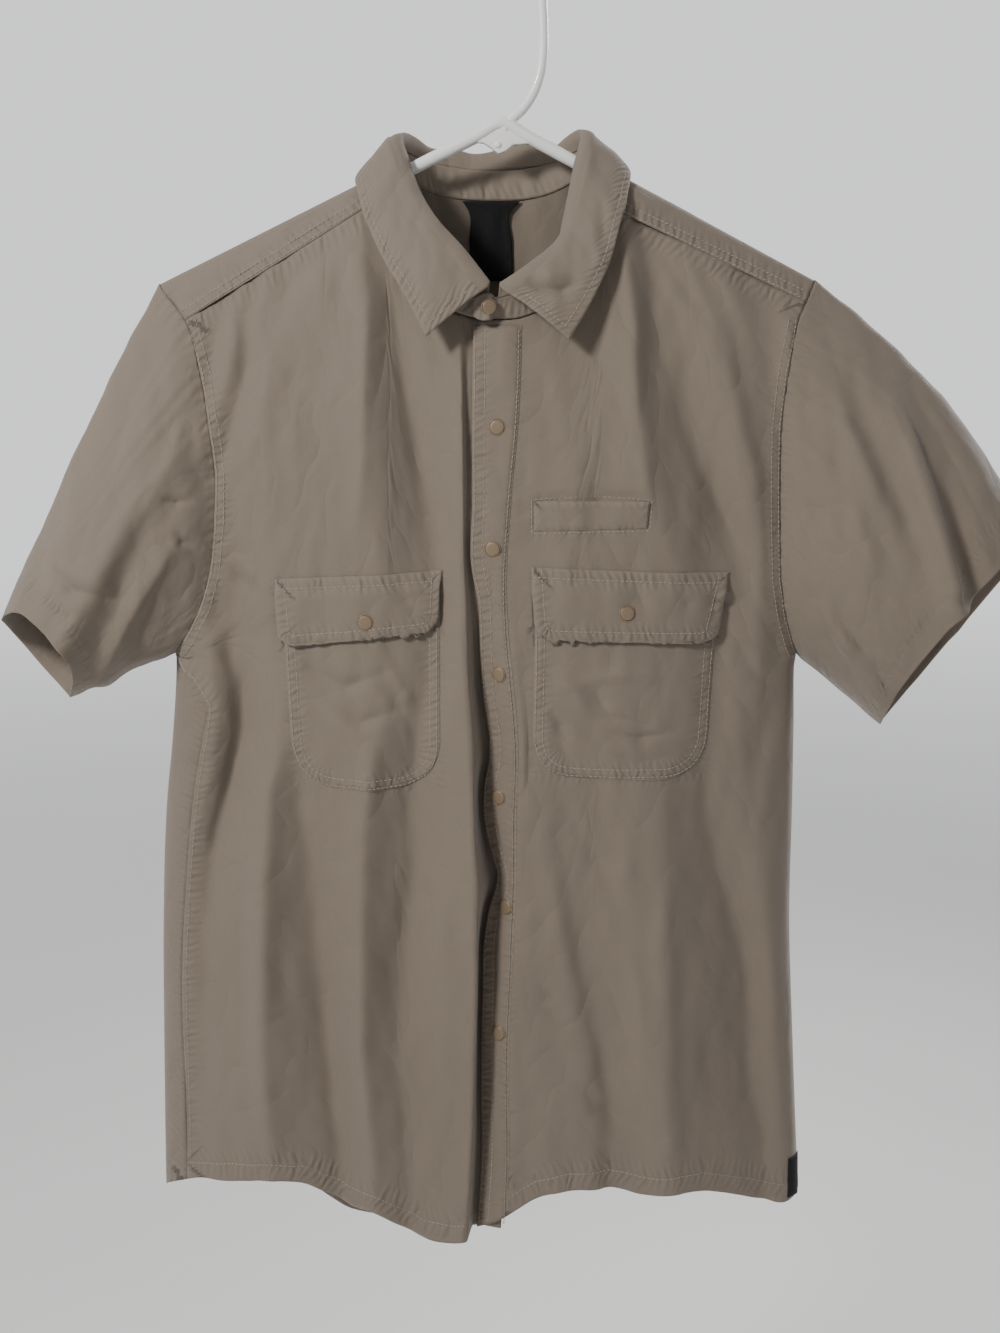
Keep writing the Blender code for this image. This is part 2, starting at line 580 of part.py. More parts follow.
def yoke_faces():
    """The yoke's three grids: over each shoulder, and below the neck at the back."""
    grids = []
    over = np.linspace(-1, 1, 13)
    for side in ("right", "left"):
        if side == "right":
            neck, seam, end = NECK_LEFT, YOKE_SEAM_LEFT, ARMHOLE_FRONT_LEFT
            back_end = ARMHOLE_BACK_LEFT
        else:
            neck, seam, end = NECK_RIGHT, YOKE_SEAM_RIGHT, ARMHOLE_FRONT_RIGHT
            back_end = ARMHOLE_BACK_RIGHT
        rows = []
        for v in over:
            share = np.linspace(0, 1, FINE)
            tip = -233 * MM if side == "right" else 211 * MM
            x = neck + (tip - neck) * share
            for _ in range(6):
                low = one(seam, x) + SEAM_GAP if v > 0 else np.full_like(x, YOKE_BACK)
                z = ridge_height(x) + (low - ridge_height(x)) * abs(v) ** (2 if v > 0 else YOKE_STEPS)
                edge = one(end if v > 0 else back_end, z)
                x = neck + (edge - neck) * share
            y = front_base(x, z) if v > 0 else back_y(x, z)
            y = np.where(v == 0, 0.0, y)
            rows.append(spread(points(x, y, z), 11))
        grids.append(np.array(rows))
    rows = []
    x = spread(neckline()[1], 13)[:, 0]
    x[0], x[-1] = NECK_LEFT, NECK_RIGHT
    for v in over[over <= 0]:
        top = neck_back_height(x)
        z = top + (YOKE_BACK - top) * abs(v) ** YOKE_STEPS
        y = back_y(x, z)
        y = np.where((v == 0) & ((x == x[0]) | (x == x[-1])), 0.0, y)
        rows.append(points(x, y, z))
    grids.append(np.array(rows))
    return grids


# Objects from points

def joined_grids(name, grids, flips, loops=()):
    mesh = bmesh.new()
    for index, grid in enumerate(grids):
        rows, columns = grid.shape[:2]
        made = [[mesh.verts.new(p) for p in row] for row in grid]
        closed = index in loops
        last = columns if closed else columns - 1
        for i in range(rows - 1):
            for j in range(last):
                k = (j + 1) % columns
                corners = [made[i][j], made[i][k], made[i + 1][k], made[i + 1][j]]
                mesh.faces.new(corners[::-1] if flips[index] else corners)
    bmesh.ops.remove_doubles(mesh, verts=mesh.verts, dist=0.02 * MM)
    data = bpy.data.meshes.new(name)
    mesh.to_mesh(data)
    mesh.free()
    return data


def place(name, data, collection, finish):
    thing = bpy.data.objects.new(name, data)
    collection.objects.link(thing)
    data.materials.clear()
    data.materials.append(finish)
    data.shade_smooth()
    return thing


def thicken(thing, wall, offset=-1):
    shell = thing.modifiers.new("wall", "SOLIDIFY")
    shell.thickness = wall
    shell.offset = offset
    shell.use_even_offset = True
    return thing


def lifted(grid, flip, lift):
    """A panel's points moved out along its surface, by more where its faces meet at an angle."""
    data = joined_grids("lifted", [grid], [flip])
    mesh = bmesh.new()
    mesh.from_mesh(data)
    mesh.normal_update()
    moves = []
    for v in mesh.verts:
        least = min(max(v.normal.dot(f.normal), 0.6) for f in v.link_faces)
        moves.append(v.normal * (lift / least))
    for v, move in zip(mesh.verts, moves):
        v.co += move
    mesh.to_mesh(data)
    mesh.free()
    return data


def rounded_outline(corners):
    """Corners across and height with radii, as a loop of points."""
    loop = []
    count = len(corners)
    for i, (x, z, radius) in enumerate(corners):
        here = Vector((x, z)) * MM
        before = (Vector(corners[i - 1][:2]) * MM - here).normalized()
        after = (Vector(corners[(i + 1) % count][:2]) * MM - here).normalized()
        steps = 6 if radius > 5 else min(2, math.ceil(radius))
        for k in range(steps + 1):
            t = k / max(steps, 1)
            a = here + before * radius * MM
            b = here + after * radius * MM
            loop.append(a * (1 - t) ** 2 + here * 2 * t * (1 - t) + b * t * t)
    return loop


def prism(name, corners, collection):
    """A cutter: the outline, drawn from front to back through the garment."""
    mesh = bmesh.new()
    loop = [mesh.verts.new((p.x, -0.25, p.y)) for p in rounded_outline(corners)]
    face = mesh.faces.new(loop)
    made = bmesh.ops.extrude_face_region(mesh, geom=[face])
    moved = [v for v in made["geom"] if isinstance(v, bmesh.types.BMVert)]
    bmesh.ops.translate(mesh, verts=moved, vec=(0, 0.245, 0))
    bmesh.ops.recalc_face_normals(mesh, faces=mesh.faces)
    data = bpy.data.meshes.new(name)
    mesh.to_mesh(data)
    mesh.free()
    cutter = bpy.data.objects.new(name, data)
    collection.objects.link(cutter)
    cutter.hide_render = True
    cutter.display_type = "WIRE"
    return cutter


def cut_to(thing, cutter):
    cut = thing.modifiers.new("outline", "BOOLEAN")
    cut.operation = "INTERSECT"
    cut.object = cutter
    return thing


def patch(name, grid, flip, lift, corners, parts, cutters, finish):
    """A piece that lies on a panel: the panel's own faces moved out and cut to an outline."""
    xs = [c[0] * MM for c in corners]
    zs = [c[1] * MM for c in corners]
    keep_rows = [
        i for i in range(len(grid))
        if grid[i, :, 2].max() > min(zs) - 0.03 and grid[i, :, 2].min() < max(zs) + 0.03
    ]
    part = grid[keep_rows[0]:keep_rows[-1] + 1]
    keep = [
        j for j in range(part.shape[1])
        if part[:, j, 0].max() > min(xs) - 0.02 and part[:, j, 0].min() < max(xs) + 0.02
    ]
    part = part[:, keep[0]:keep[-1] + 1]
    thing = place(name, lifted(part, flip, lift), parts, finish)
    thicken(thing, WALL, offset=1)
    return cut_to(thing, prism(name + "_outline", corners, cutters))


def make_placket(grid, parts, cutters, finish):
    """The band along the front's edge, as far as its inner row of stitches."""
    thing = place("front_placket", lifted(grid[:, -PLACKET_COLUMNS:], False, POCKET_LIFT), parts, finish)
    thicken(thing, WALL, offset=1)
    corners = [(-70, -950, 0), (-70, PLACKET_TOP, 0)]
    for z in np.linspace(PLACKET_TOP, -950, 24):
        x = float(one(PLACKET_STITCH, np.array(z * MM))) / MM
        corners.append((x, z, 0))
    return cut_to(thing, prism("front_placket_outline", corners, cutters))


def surface_tree(thing):
    graph = bpy.context.evaluated_depsgraph_get()
    return BVHTree.FromObject(thing, graph)


def snap(name, centre, carrier, parts, finish):
    """A domed cap that sits on the face of its carrier."""
    tree = surface_tree(carrier)
    x, z = centre[0] * MM, centre[1] * MM
    spots = []
    for dx, dz in [(0, 0), (1, 0), (-1, 0), (0, 1), (0, -1)]:
        start_point = Vector((x + dx * 4 * MM, -0.3, z + dz * 4 * MM))
        hit = tree.ray_cast(start_point, Vector((0, 1, 0)))
        if hit[0] is not None:
            spots.append((hit[0], hit[1]))
    normal = Vector((0, 0, 0))
    for _, facing in spots:
        normal += facing if facing.y < 0 else -facing
    normal.normalize()
    hit = spots[0][0]
    reach = max((p - hit).dot(normal) for p, _ in spots)
    mesh = bmesh.new()
    profile = [(0.0, 1.0), (0.82, 0.93), (0.97, 0.72), (1.0, 0.42), (0.93, 0.0)]
    rings = []
    for radius, height in profile[1:]:
        ring = []
        for k in range(16):
            a = 2 * math.pi * k / 16
            ring.append(mesh.verts.new((
                SNAP_RADIUS * radius * math.cos(a),
                SNAP_RADIUS * radius * math.sin(a),
                SNAP_THICK * height,
            )))
        rings.append(ring)
    mesh.faces.new(rings[0])
    for low, high in zip(rings[:-1], rings[1:]):
        for k in range(16):
            m = (k + 1) % 16
            mesh.faces.new((low[m], low[k], high[k], high[m]))
    mesh.faces.new(rings[-1][::-1])
    bmesh.ops.recalc_face_normals(mesh, faces=mesh.faces)
    data = bpy.data.meshes.new(name)
    mesh.to_mesh(data)
    mesh.free()
    thing = place(name, data, parts, finish)
    seat = hit + normal * (reach + SNAP_SEAT)
    thing.matrix_world = Matrix.Translation(seat) @ normal.to_track_quat("Z", "Y").to_matrix().to_4x4()
    return thing


def collar_lines():
    """Points of the foot, fold and outer edge at the same shares round the neck."""
    left, back, right = neckline()
    foot = np.concatenate([
        spread(left, COLLAR_SIDE + 1)[:-1],
        spread(back, COLLAR_BACK + 1)[:-1],
        spread(right, COLLAR_SIDE + 1),
    ])
    share = np.concatenate([
        np.linspace(0, SIDE_SHARE, COLLAR_SIDE + 1)[:-1],
        np.linspace(SIDE_SHARE, 1 - SIDE_SHARE, COLLAR_BACK + 1)[:-1],
        np.linspace(1 - SIDE_SHARE, 1, COLLAR_SIDE + 1),
    ])
    table = [(row[0] / MM, *row[1:]) for row in COLLAR]
    values = along(table, share)
    fold, edge = values[:, :3], values[:, 3:]
    rise = fold - foot
    foot = foot + rise * (STAND_RAISE / np.linalg.norm(rise, axis=1))[:, None]
    return foot, fold, edge


def stand_grid():
    foot, fold, _ = collar_lines()
    top = foot + (fold - foot) * STAND_SHARE
    end_foot = [(x * MM, y * MM, low * MM) for x, y, low, _ in STAND_END]
    end_top = [(x * MM, y * MM, high * MM) for x, y, _, high in STAND_END]
    foot = np.concatenate([foot, end_foot])
    top = np.concatenate([top, end_top])
    middle = (foot + top) / 2
    return np.array([top, middle, foot])


def collar_grid():
    foot, fold, edge = collar_lines()
    base = foot + (fold - foot) * (STAND_SHARE + STAND_STEP)
    rise = fold - base
    fall = edge - fold
    up = rise / np.linalg.norm(rise, axis=1)[:, None]
    outward = np.cross(np.gradient(fold, axis=0), fall)
    outward /= np.linalg.norm(outward, axis=1)[:, None]
    from_neck = fold - np.array([(NECK_LEFT + NECK_RIGHT) / 2, 0, 0])
    facing = np.sign((outward[:, :2] * from_neck[:, :2]).sum(axis=1))
    outward *= facing[:, None]
    shoulder = fold + outward * COLLAR_TURN - up * COLLAR_TURN * 0.4
    rows = [
        base,
        fold - up * COLLAR_TURN * 0.5,
        fold + outward * COLLAR_TURN * 0.45 + up * COLLAR_TURN * 0.15,
        shoulder,
    ]
    for share in (0.35, 0.65, 1.0):
        crown = outward * COLLAR_CROWN * math.sin(math.pi * share)
        rows.append(shoulder + (edge - shoulder) * share + crown)
    return np.array(rows)


def neck_label_grid():
    rows = []
    for z, left, right in NECK_LABEL:
        x = np.linspace(left, right, 5) * MM
        z = np.full(5, z * MM)
        rows.append(points(x, back_y(x, z) - NECK_LABEL_LIFT, z))
    return np.array(rows)


# The hanger

def tube(name, line, radius, closed=False):
    curve = bpy.data.curves.new(name, "CURVE")
    curve.dimensions = "3D"
    curve.bevel_depth = radius
    curve.bevel_resolution = 2
    curve.use_fill_caps = not closed
    spline = curve.splines.new("POLY")
    spline.points.add(len(line) - 1)
    for point, at in zip(spline.points, line):
        point.co = (*at, 1)
    spline.use_cyclic_u = closed
    thing = bpy.data.objects.new(name, curve)
    bpy.context.scene.collection.objects.link(thing)
    graph = bpy.context.evaluated_depsgraph_get()
    data = bpy.data.meshes.new_from_object(thing.evaluated_get(graph))
    bpy.data.objects.remove(thing)
    mesh = bmesh.new()
    mesh.from_mesh(data)
    bmesh.ops.remove_doubles(mesh, verts=mesh.verts, dist=0.01 * MM)
    bmesh.ops.recalc_face_normals(mesh, faces=mesh.faces)
    mesh.to_mesh(data)
    mesh.free()
    return data


def arm_height(x):
    fall = RIDGE_FALL_LEFT if x < 0 else RIDGE_FALL_RIGHT
    below = (WALL + TUBE_SEAT + TUBE_RADIUS) * math.sqrt(1 + fall * fall)
    return float(ridge_height(np.array(x))) - below


def frame_line():
    """The hanger's triangle: up one arm, down the other, round the ends and back along the bar."""
    line = []
    for x in np.linspace(ARM_END_LEFT, 0, 12):
        line.append((x, 0, arm_height(x)))
    for x in np.linspace(0, ARM_END_RIGHT, 12)[1:]:
        line.append((x, 0, arm_height(x)))
    for end, fall, out in [(ARM_END_RIGHT, RIDGE_FALL_RIGHT, 1), (ARM_END_LEFT, RIDGE_FALL_LEFT, -1)]:
        slope = math.atan(fall)
        z = arm_height(end)
        centre = (end - out * END_TURN * math.sin(slope), z - END_TURN * math.cos(slope))
        arc = []
        for k in range(1, 8):
            a = math.pi / 2 - slope - (math.pi - slope) * k / 7
            arc.append((centre[0] + out * END_TURN * math.cos(a), 0, centre[1] + END_TURN * math.sin(a)))
        if out > 0:
            line.extend(arc)
            last = arc[-1]
        else:
            first = arc[-1]
            for k in range(1, 9):
                t = k / 9
                line.append((last[0] + (first[0] - last[0]) * t, 0, last[2] + (first[2] - last[2]) * t))
            line.extend(arc[::-1])
    return line


def hook_line():
    """The stem from the apex to the right, then the round of the hook over the top."""
    line = [(x * MM, 0, z * MM) for x, z in HOOK_STEM]
    centre_z = HOOK_TOP + HOOK_TUBE - HOOK_RADIUS
    for angle in np.linspace(0, math.radians(HOOK_ROUND), 16):
        line.append((HOOK_RADIUS * math.cos(angle), 0, centre_z + HOOK_RADIUS * math.sin(angle)))
    return line


def make_hanger(parts, cutters, finish):
    frame = place("hanger", tube("hanger", frame_line(), TUBE_RADIUS, closed=True), parts, finish)
    hook = place("hook_form", tube("hook_form", hook_line(), HOOK_TUBE), cutters, finish)
    mesh = bmesh.new()
    loop = [mesh.verts.new((x * MM, -WEB_THICK / 2, z * MM)) for x, z in WEB_OUTLINE]
    face = mesh.faces.new(loop)
    made = bmesh.ops.extrude_face_region(mesh, geom=[face])
    moved = [v for v in made["geom"] if isinstance(v, bmesh.types.BMVert)]
    bmesh.ops.translate(mesh, verts=moved, vec=(0, WEB_THICK, 0))
    bmesh.ops.recalc_face_normals(mesh, faces=mesh.faces)
    data = bpy.data.meshes.new("web_form")
    mesh.to_mesh(data)
    mesh.free()
    web = place("web_form", data, cutters, finish)
    for piece in (hook, web):
        piece.hide_render = True
        piece.display_type = "WIRE"
        join = frame.modifiers.new("join_" + piece.name, "BOOLEAN")
        join.operation = "UNION"
        join.object = piece
    return frame


def main():
    parts, cutters = start()
    cloth = material("cloth", CLOTH_COLOUR, 0.75)
    metal = material("snap_metal", SNAP_COLOUR, 0.42, 0.6)
    plastic = material("hanger_plastic", HANGER_COLOUR, 0.35)
    tape = material("label_tape", LABEL_COLOUR, 0.6)

    right, left = front_grid("right"), front_grid("left")
    thicken(place("front_right", joined_grids("front_right", [right], [False]), parts, cloth), WALL)
    thicken(place("front_left", joined_grids("front_left", [left], [False]), parts, cloth), WALL)
    back, yoke = back_grid(), yoke_faces()
    thicken(place("back_panel", joined_grids("back_panel", [back], [True]), parts, cloth), WALL)
    thicken(place("yoke", joined_grids("yoke", yoke, [False, True, True]), parts, cloth), WALL)
    for side, front, over, flip in (("right", right, yoke[0], False), ("left", left, yoke[1], True)):
        grid = sleeve_grid(side, front, back, over)
        data = joined_grids("sleeve_" + side, [grid], [flip], loops=(0,))
        thicken(place("sleeve_" + side, data, parts, cloth), WALL)
    for name, grid in (("collar", collar_grid()), ("collar_stand", stand_grid())):
        stand = place(name, joined_grids(name, [grid], [False]), parts, cloth)
        thicken(stand, COLLAR_WALL, 0)
    placket = make_placket(left, parts, cutters, cloth)
    for number, centre in enumerate(FRONT_SNAPS, 1):
        snap("snap_front_%d" % number, centre, placket if number > 1 else stand, parts, metal)

    for name, corners in POCKETS.items():
        grid = right if name.endswith("right") else left
        patch(name, grid, False, POCKET_LIFT, corners, parts, cutters, cloth)
    for name, corners in FLAPS.items():
        grid = right if name.endswith("right") else left
        flap = patch(name, grid, False, FLAP_LIFT, corners, parts, cutters, cloth)
        pocket_snap = name.replace("flap", "snap_pocket")
        snap(pocket_snap, POCKET_SNAPS[pocket_snap], flap, parts, metal)
    patch("pen_pocket_welt", left, False, POCKET_LIFT, PEN_WELT, parts, cutters, cloth)
    patch("side_label", left, False, POCKET_LIFT, SIDE_LABEL, parts, cutters, tape)
    thicken(place("neck_label", joined_grids("neck_label", [neck_label_grid()], [True]), parts, tape), WALL, 1)
    make_hanger(parts, cutters, plastic)
    for thing in [*parts.objects, *cutters.objects]:
        thing.location.z -= HOOK_TOP


main()
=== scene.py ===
"""The shirt and its hanger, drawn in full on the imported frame.

Metres, +Z up. The front faces -Y and +X is to the right of someone who faces it.
Tables are in millimetres, with heights from a datum that is HOOK_TOP below the origin.
Right and left in names are the wearer's.
"""
import json
import math

import bmesh
import bpy
import numpy as np
from mathutils import Matrix, Vector
from mathutils.bvhtree import BVHTree

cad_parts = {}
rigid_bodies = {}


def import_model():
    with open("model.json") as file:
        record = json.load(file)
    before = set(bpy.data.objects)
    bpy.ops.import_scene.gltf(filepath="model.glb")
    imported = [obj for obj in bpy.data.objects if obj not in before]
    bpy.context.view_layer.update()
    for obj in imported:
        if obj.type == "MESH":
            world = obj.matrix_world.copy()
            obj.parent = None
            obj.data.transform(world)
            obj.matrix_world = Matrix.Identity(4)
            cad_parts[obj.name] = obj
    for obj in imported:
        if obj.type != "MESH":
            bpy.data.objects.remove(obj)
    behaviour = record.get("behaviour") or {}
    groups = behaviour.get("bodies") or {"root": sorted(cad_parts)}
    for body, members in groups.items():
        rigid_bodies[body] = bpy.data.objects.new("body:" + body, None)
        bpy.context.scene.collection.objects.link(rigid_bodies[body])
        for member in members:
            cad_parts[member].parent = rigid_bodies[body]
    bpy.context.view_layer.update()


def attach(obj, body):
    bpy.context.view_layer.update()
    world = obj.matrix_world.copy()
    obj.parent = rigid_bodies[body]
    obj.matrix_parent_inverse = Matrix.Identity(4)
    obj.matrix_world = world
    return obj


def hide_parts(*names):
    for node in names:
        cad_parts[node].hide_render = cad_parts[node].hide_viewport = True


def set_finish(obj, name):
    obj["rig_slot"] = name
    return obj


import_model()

MM = 0.001

# Cloth and seams
WALL = 0.6 * MM
COLLAR_WALL = 1.3 * MM
SEAM_GAP = 0.08 * MM
UNDERLAP_WIDE = 18 * MM
UNDERLAP_FOOT = 2.5 * MM
SLEEVE_GAP = 0.1 * MM
UNDERARM_GAP = 0.3 * MM
UNDERARM_ZONE = -380 * MM
SLEEVE_SWELL = 10 * MM
PLACKET_TOP = -226

# Shoulders: the ridge of the cloth over the hanger's arms
RIDGE_TOP = -85.5 * MM
RIDGE_FALL_LEFT = 0.480
RIDGE_FALL_RIGHT = 0.517
RIDGE_RADIUS = 7.0 * MM
SECTION_POWER = 2.4

# Neck, yoke and underarm
NECK_LEFT = -78 * MM
NECK_RIGHT = 66 * MM
YOKE_BACK = -236 * MM
YOKE_STEPS = 2.6
UNDERARM = -452 * MM
UNDERARM_AT = {"right": -232 * MM, "left": 208 * MM}
SHOULDER_TIP = {"right": -233 * MM, "left": 211 * MM}
NECK_DEPTH_FRONT = 52 * MM
NECK_DEPTH_BACK = 42 * MM

# Where the panels start and end
FRONT_TOP = -221 * MM
FRONT_LOW = -860 * MM
BACK_FOOT = -864 * MM
BACK_FOOT_RIGHT = 226 * MM
BACK_FOOT_LEFT = -257 * MM
SIDE_FOOT_LEFT = -234 * MM

# Body sections: height, left and right extents, front and back depth
SECTIONS = [
    (-80, -300, 290, 52, 42),
    (-150, -292, 276, 52, 42),
    (-250, -272, 250, 54, 43),
    (-350, -248, 226, 56, 44),
    (-452, -232, 208, 58, 45),
    (-505, -236, 209, 58, 45),
    (-562, -243, 210, 58, 46),
    (-650, -249, 211, 58, 47),
    (-733, -252, 216, 58, 48),
    (-835, -255, 223, 58, 48),
    (-940, -257, 231, 58, 48),
]

# Edges of the fronts and back: height and place of each edge
ARMHOLE_FRONT_LEFT = [
    (-190, -237), (-198, -233), (-222, -214), (-255, -205), (-294, -199), (-328, -196),
    (-355, -197), (-389, -201), (-416, -209), (-437, -220), (-452, -232),
]
ARMHOLE_FRONT_RIGHT = [
    (-190, 214), (-197, 211), (-222, 199), (-255, 193), (-294, 189), (-328, 189),
    (-361, 190), (-396, 192), (-423, 197), (-444, 204), (-452, 208),
]
ARMHOLE_BACK_LEFT = [(-190, -237), (-198, -233), (-260, -222), (-340, -217), (-405, -220), (-452, -232)]
ARMHOLE_BACK_RIGHT = [(-190, 214), (-197, 211), (-260, 202), (-340, 197), (-405, 198), (-452, 208)]
SIDE_SEAM_LEFT = [
    (-452, -232), (-466, -216), (-483, -205), (-504, -208), (-536, -215), (-568, -220),
    (-600, -224), (-627, -227), (-683, -232), (-757, -233), (-845, -234), (-940, -235),
]
PLACKET_EDGE = [
    (-190, -19), (-226, -20), (-304, -21), (-343, -21), (-381, -22), (-411, -17), (-442, -16),
    (-476, -14), (-505, -10), (-520, -10), (-535, -13), (-557, -14), (-578, -11), (-593, -7),
    (-606, -4), (-617, -6), (-629, -10), (-645, -13), (-693, -15), (-756, -16), (-819, -16),
    (-852, -18), (-880, -20),
]
# How far the right front lies behind the left one at the placket, by height
UNDERLAP = [
    (-190, 2.6), (-290, 2.6), (-400, 2.8), (-450, 3.8), (-510, 5.0), (-620, 6.0), (-690, 4.8),
    (-770, 3.8), (-900, 3.4),
]
PLACKET_STITCH = [
    (-190, 11), (-233, 11), (-287, 9), (-343, 4), (-401, 1), (-440, 3), (-461, 5),
    (-512, 9), (-560, 8), (-606, 8), (-660, 6), (-740, 3), (-825, 3), (-880, 1),
]

# Top edges: place across and height
NECK_FRONT_LEFT = [(-78, -140), (-75, -156), (-65, -182), (-46, -208), (-20, -221), (0, -222), (20, -222)]
NECK_FRONT_RIGHT = [(-24, -222), (-8, -222), (12, -221), (36, -208), (55, -184), (63, -160), (66, -147)]
YOKE_SEAM_LEFT = [(-214, -222), (-97, -152), (-78, -140)]
YOKE_SEAM_RIGHT = [(66, -147), (82, -154), (202, -209)]
NECK_BACK = -141 * MM
NECK_BACK_POWER = 3.5

# Hems: place across and height
HEM_FRONT_LEFT = [
    (-255, -862), (-234, -845), (-201, -838), (-168, -832), (-144, -836), (-128, -846),
    (-112, -855), (-92, -856), (-74, -868), (-58, -877), (-36, -878), (-20, -873), (10, -870),
]
HEM_FRONT_RIGHT = [
    (-20, -873), (0, -861), (11, -853), (24, -844), (44, -838), (72, -837), (104, -842),
    (124, -840), (146, -842), (170, -852), (196, -864), (212, -867), (224, -862),
]
HEM_BACK = [
    (-257, -864), (-210, -870), (-168, -881), (-112, -911), (-70, -922), (-30, -922), (0, -910),
    (30, -894), (62, -884), (120, -878), (190, -872), (226, -866),
]

# Main folds: a row for each section, with the place and the stand-out of each fold line
FOLD_SOFTNESS = 2.0 * MM
FOLDS_RIGHT_FRONT = [
    # height, then place and stand-out of: side ridge, side valley, outer ridge,
    # outer valley, middle ridge, middle valley, edge ridge
    (-130, -205, 0, -190, 0, -150, 0, -130, 0, -94, 0, -88, 0, -40, 0),
    (-160, -205, 0, -190, 0, -152, 0, -130, 0, -95, 2, -88, -2, -40, 0),
    (-225, -204, 0, -188, 0, -155, 1, -130, 1, -93, 5, -73, -6, -30, 1),
    (-290, -200, 0, -184, 0, -158, 2, -132, 2, -92, 7, -62, -9, -28, 1.5),
    (-366, -200, 0, -184, -2, -160, 2, -134, 2, -86, 7, -50, -9, -27, 1),
    (-412, -204, 5, -186, -6, -160, 2, -140, 2, -84, 4, -46, -7, -26, 2),
    (-450, -202, 9, -188, -9, -160, 2, -144, 2, -84, 3, -48, -6, -25, 5),
    (-495, -198, 10, -185, -9, -156, 3, -142, 1, -82, 3, -58, -6, -22, 8),
    (-524, -203, 9, -190, -8, -158, 5, -145, -2, -88, 4, -60, -7, -21, 10),
    (-584, -217, 6, -205, -6, -163, 9, -141, -8, -96, 6, -60, -8, -19, 13),
    (-656, -226, 2, -214, -3, -168, 10, -133, -10, -99, 7, -70, -8, -18, 13),
    (-745, -229, 0, -216, -1, -170, 11, -126, -12, -100, 7, -74, -8, -20, 10),
    (-811, -230, 0, -217, 0, -167, 10, -120, -12, -94, 6, -70, -7, -23, 9),
    (-880, -231, 0, -218, 0, -165, 9, -118, -11, -90, 6, -66, -6, -27, 8),
]
FOLDS_LEFT_FRONT = [
    # height, then place and stand-out of: placket edge, placket stitch, inner ridge,
    # inner valley, middle ridge, middle valley, outer ridge, outer valley
    (-130, -19, 0, 11, 0, 40, 0, 52, 0, 78, 0, 88, 0, 108, 0, 120, 0),
    (-160, -19, 0, 11, 0, 42, 0, 54, 0, 81, 3, 92, -3, 114, 0, 124, 0),
    (-225, -20, 0, 11, 0, 44, 1, 56, 1, 87, 6, 103, -5, 142, 4, 151, 0),
    (-290, -21, -1, 9, -1, 46, 2, 58, 2, 89, 8, 122, -9, 160, 6, 170, -1),
    (-335, -21, -2, 4, -1, 46, 3, 58, 3, 97, 9, 142, -9, 172, 6, 181, 0),
    (-366, -22, -3, 2, -1, 44, 2, 56, 2, 108, 7, 158, -9, 176, 4, 184, 1),
    (-400, -19, -6, 1, -1, 42, 2, 54, 2, 115, 4, 160, -5, 177, 2, 185, 1),
    (-440, -16, -9, 3, 0, 40, 2, 52, 2, 113, 3, 150, -5, 176, 2, 188, 1),
    (-510, -11, -13, 9, 0, 36, 2, 46, 2, 114, 4, 146, -6, 180, 3, 192, 1),
    (-555, -14, -15, 8, 0, 33, 3, 41, 1, 112, 7, 142, -8, 182, 3, 194, 1),
    (-606, -4, -18, 8, 0, 37, 4, 45, -1, 112, 10, 154, -11, 186, 3, 196, 1),
    (-692, -15, -15, 6, 0, 47, 5, 61, -4, 110, 12, 178, -14, 196, 1, 204, 0),
    (-769, -16, -14, 3, 0, 59, 5, 75, -4, 115, 12, 182, -15, 202, 0, 212, 0),
    (-811, -16, -12, 3, 0, 67, 5, 77, -3, 122, 12, 192, -13, 208, 0, 216, 0),
    (-880, -20, -10, 1, 0, 70, 4, 80, -2, 128, 11, 196, -11, 212, 0, 220, 0),
]
FOLDS_BACK = [
    # height, then place and stand-out of three ridges and the valleys between them
    (-130, -150, 0, -100, 0, -50, 0, 0, 0, 60, 0, 120, 0, 170, 0),
    (-240, -150, 1, -100, -1, -50, 2, 0, 0, 60, 2, 120, -2, 170, 0),
    (-400, -160, 5, -110, -5, -55, 6, 10, -4, 70, 6, 130, -6, 175, 2),
    (-600, -170, 8, -115, -8, -60, 9, 14, -6, 80, 8, 140, -8, 180, 3),
    (-760, -175, 10, -120, -9, -62, 10, 16, -8, 85, 10, 145, -9, 185, 4),
    (-940, -178, 10, -122, -9, -64, 10, 18, -8, 88, 10, 148, -9, 188, 4),
]

# Sleeves: cuff centre, half of its width seen from the front, half of its depth
CUFF_RIGHT = {"centre": (-330, -8, -456), "across": (22, 0, -27), "deep": (-14, 56, -14)}
CUFF_LEFT = {"centre": (320, -8, -438), "across": (-51, 0, -65), "deep": (10, 48, -12)}
# How far a sleeve's upper edge bows out between the shoulder and the cuff
SLEEVE_BOW = {"right": (-3, 0, 2), "left": (11, 0, 10)}
CUFF_SQUARENESS = 0.85
# Sleeve folds: across, height, stand-out and half width at each end of the fold
SLEEVE_FOLDS_RIGHT = [
    [(-236, -330, 0, 8), (-262, -392, 7, 12), (-292, -452, 8, 14)],
    [(-300, -300, 0, 8), (-322, -380, 4, 10), (-330, -420, 4, 10)],
]
SLEEVE_FOLDS_LEFT = [
    [(268, -250, 0, 8), (290, -320, 12, 11), (314, -410, 13, 12), (322, -436, 6, 10)],
    [(222, -215, 0, 8), (238, -290, 6, 10), (262, -345, 4, 10), (280, -390, 0, 8)],
    [(212, -400, 0, 8), (246, -452, 7, 10), (272, -486, 6, 10)],
]

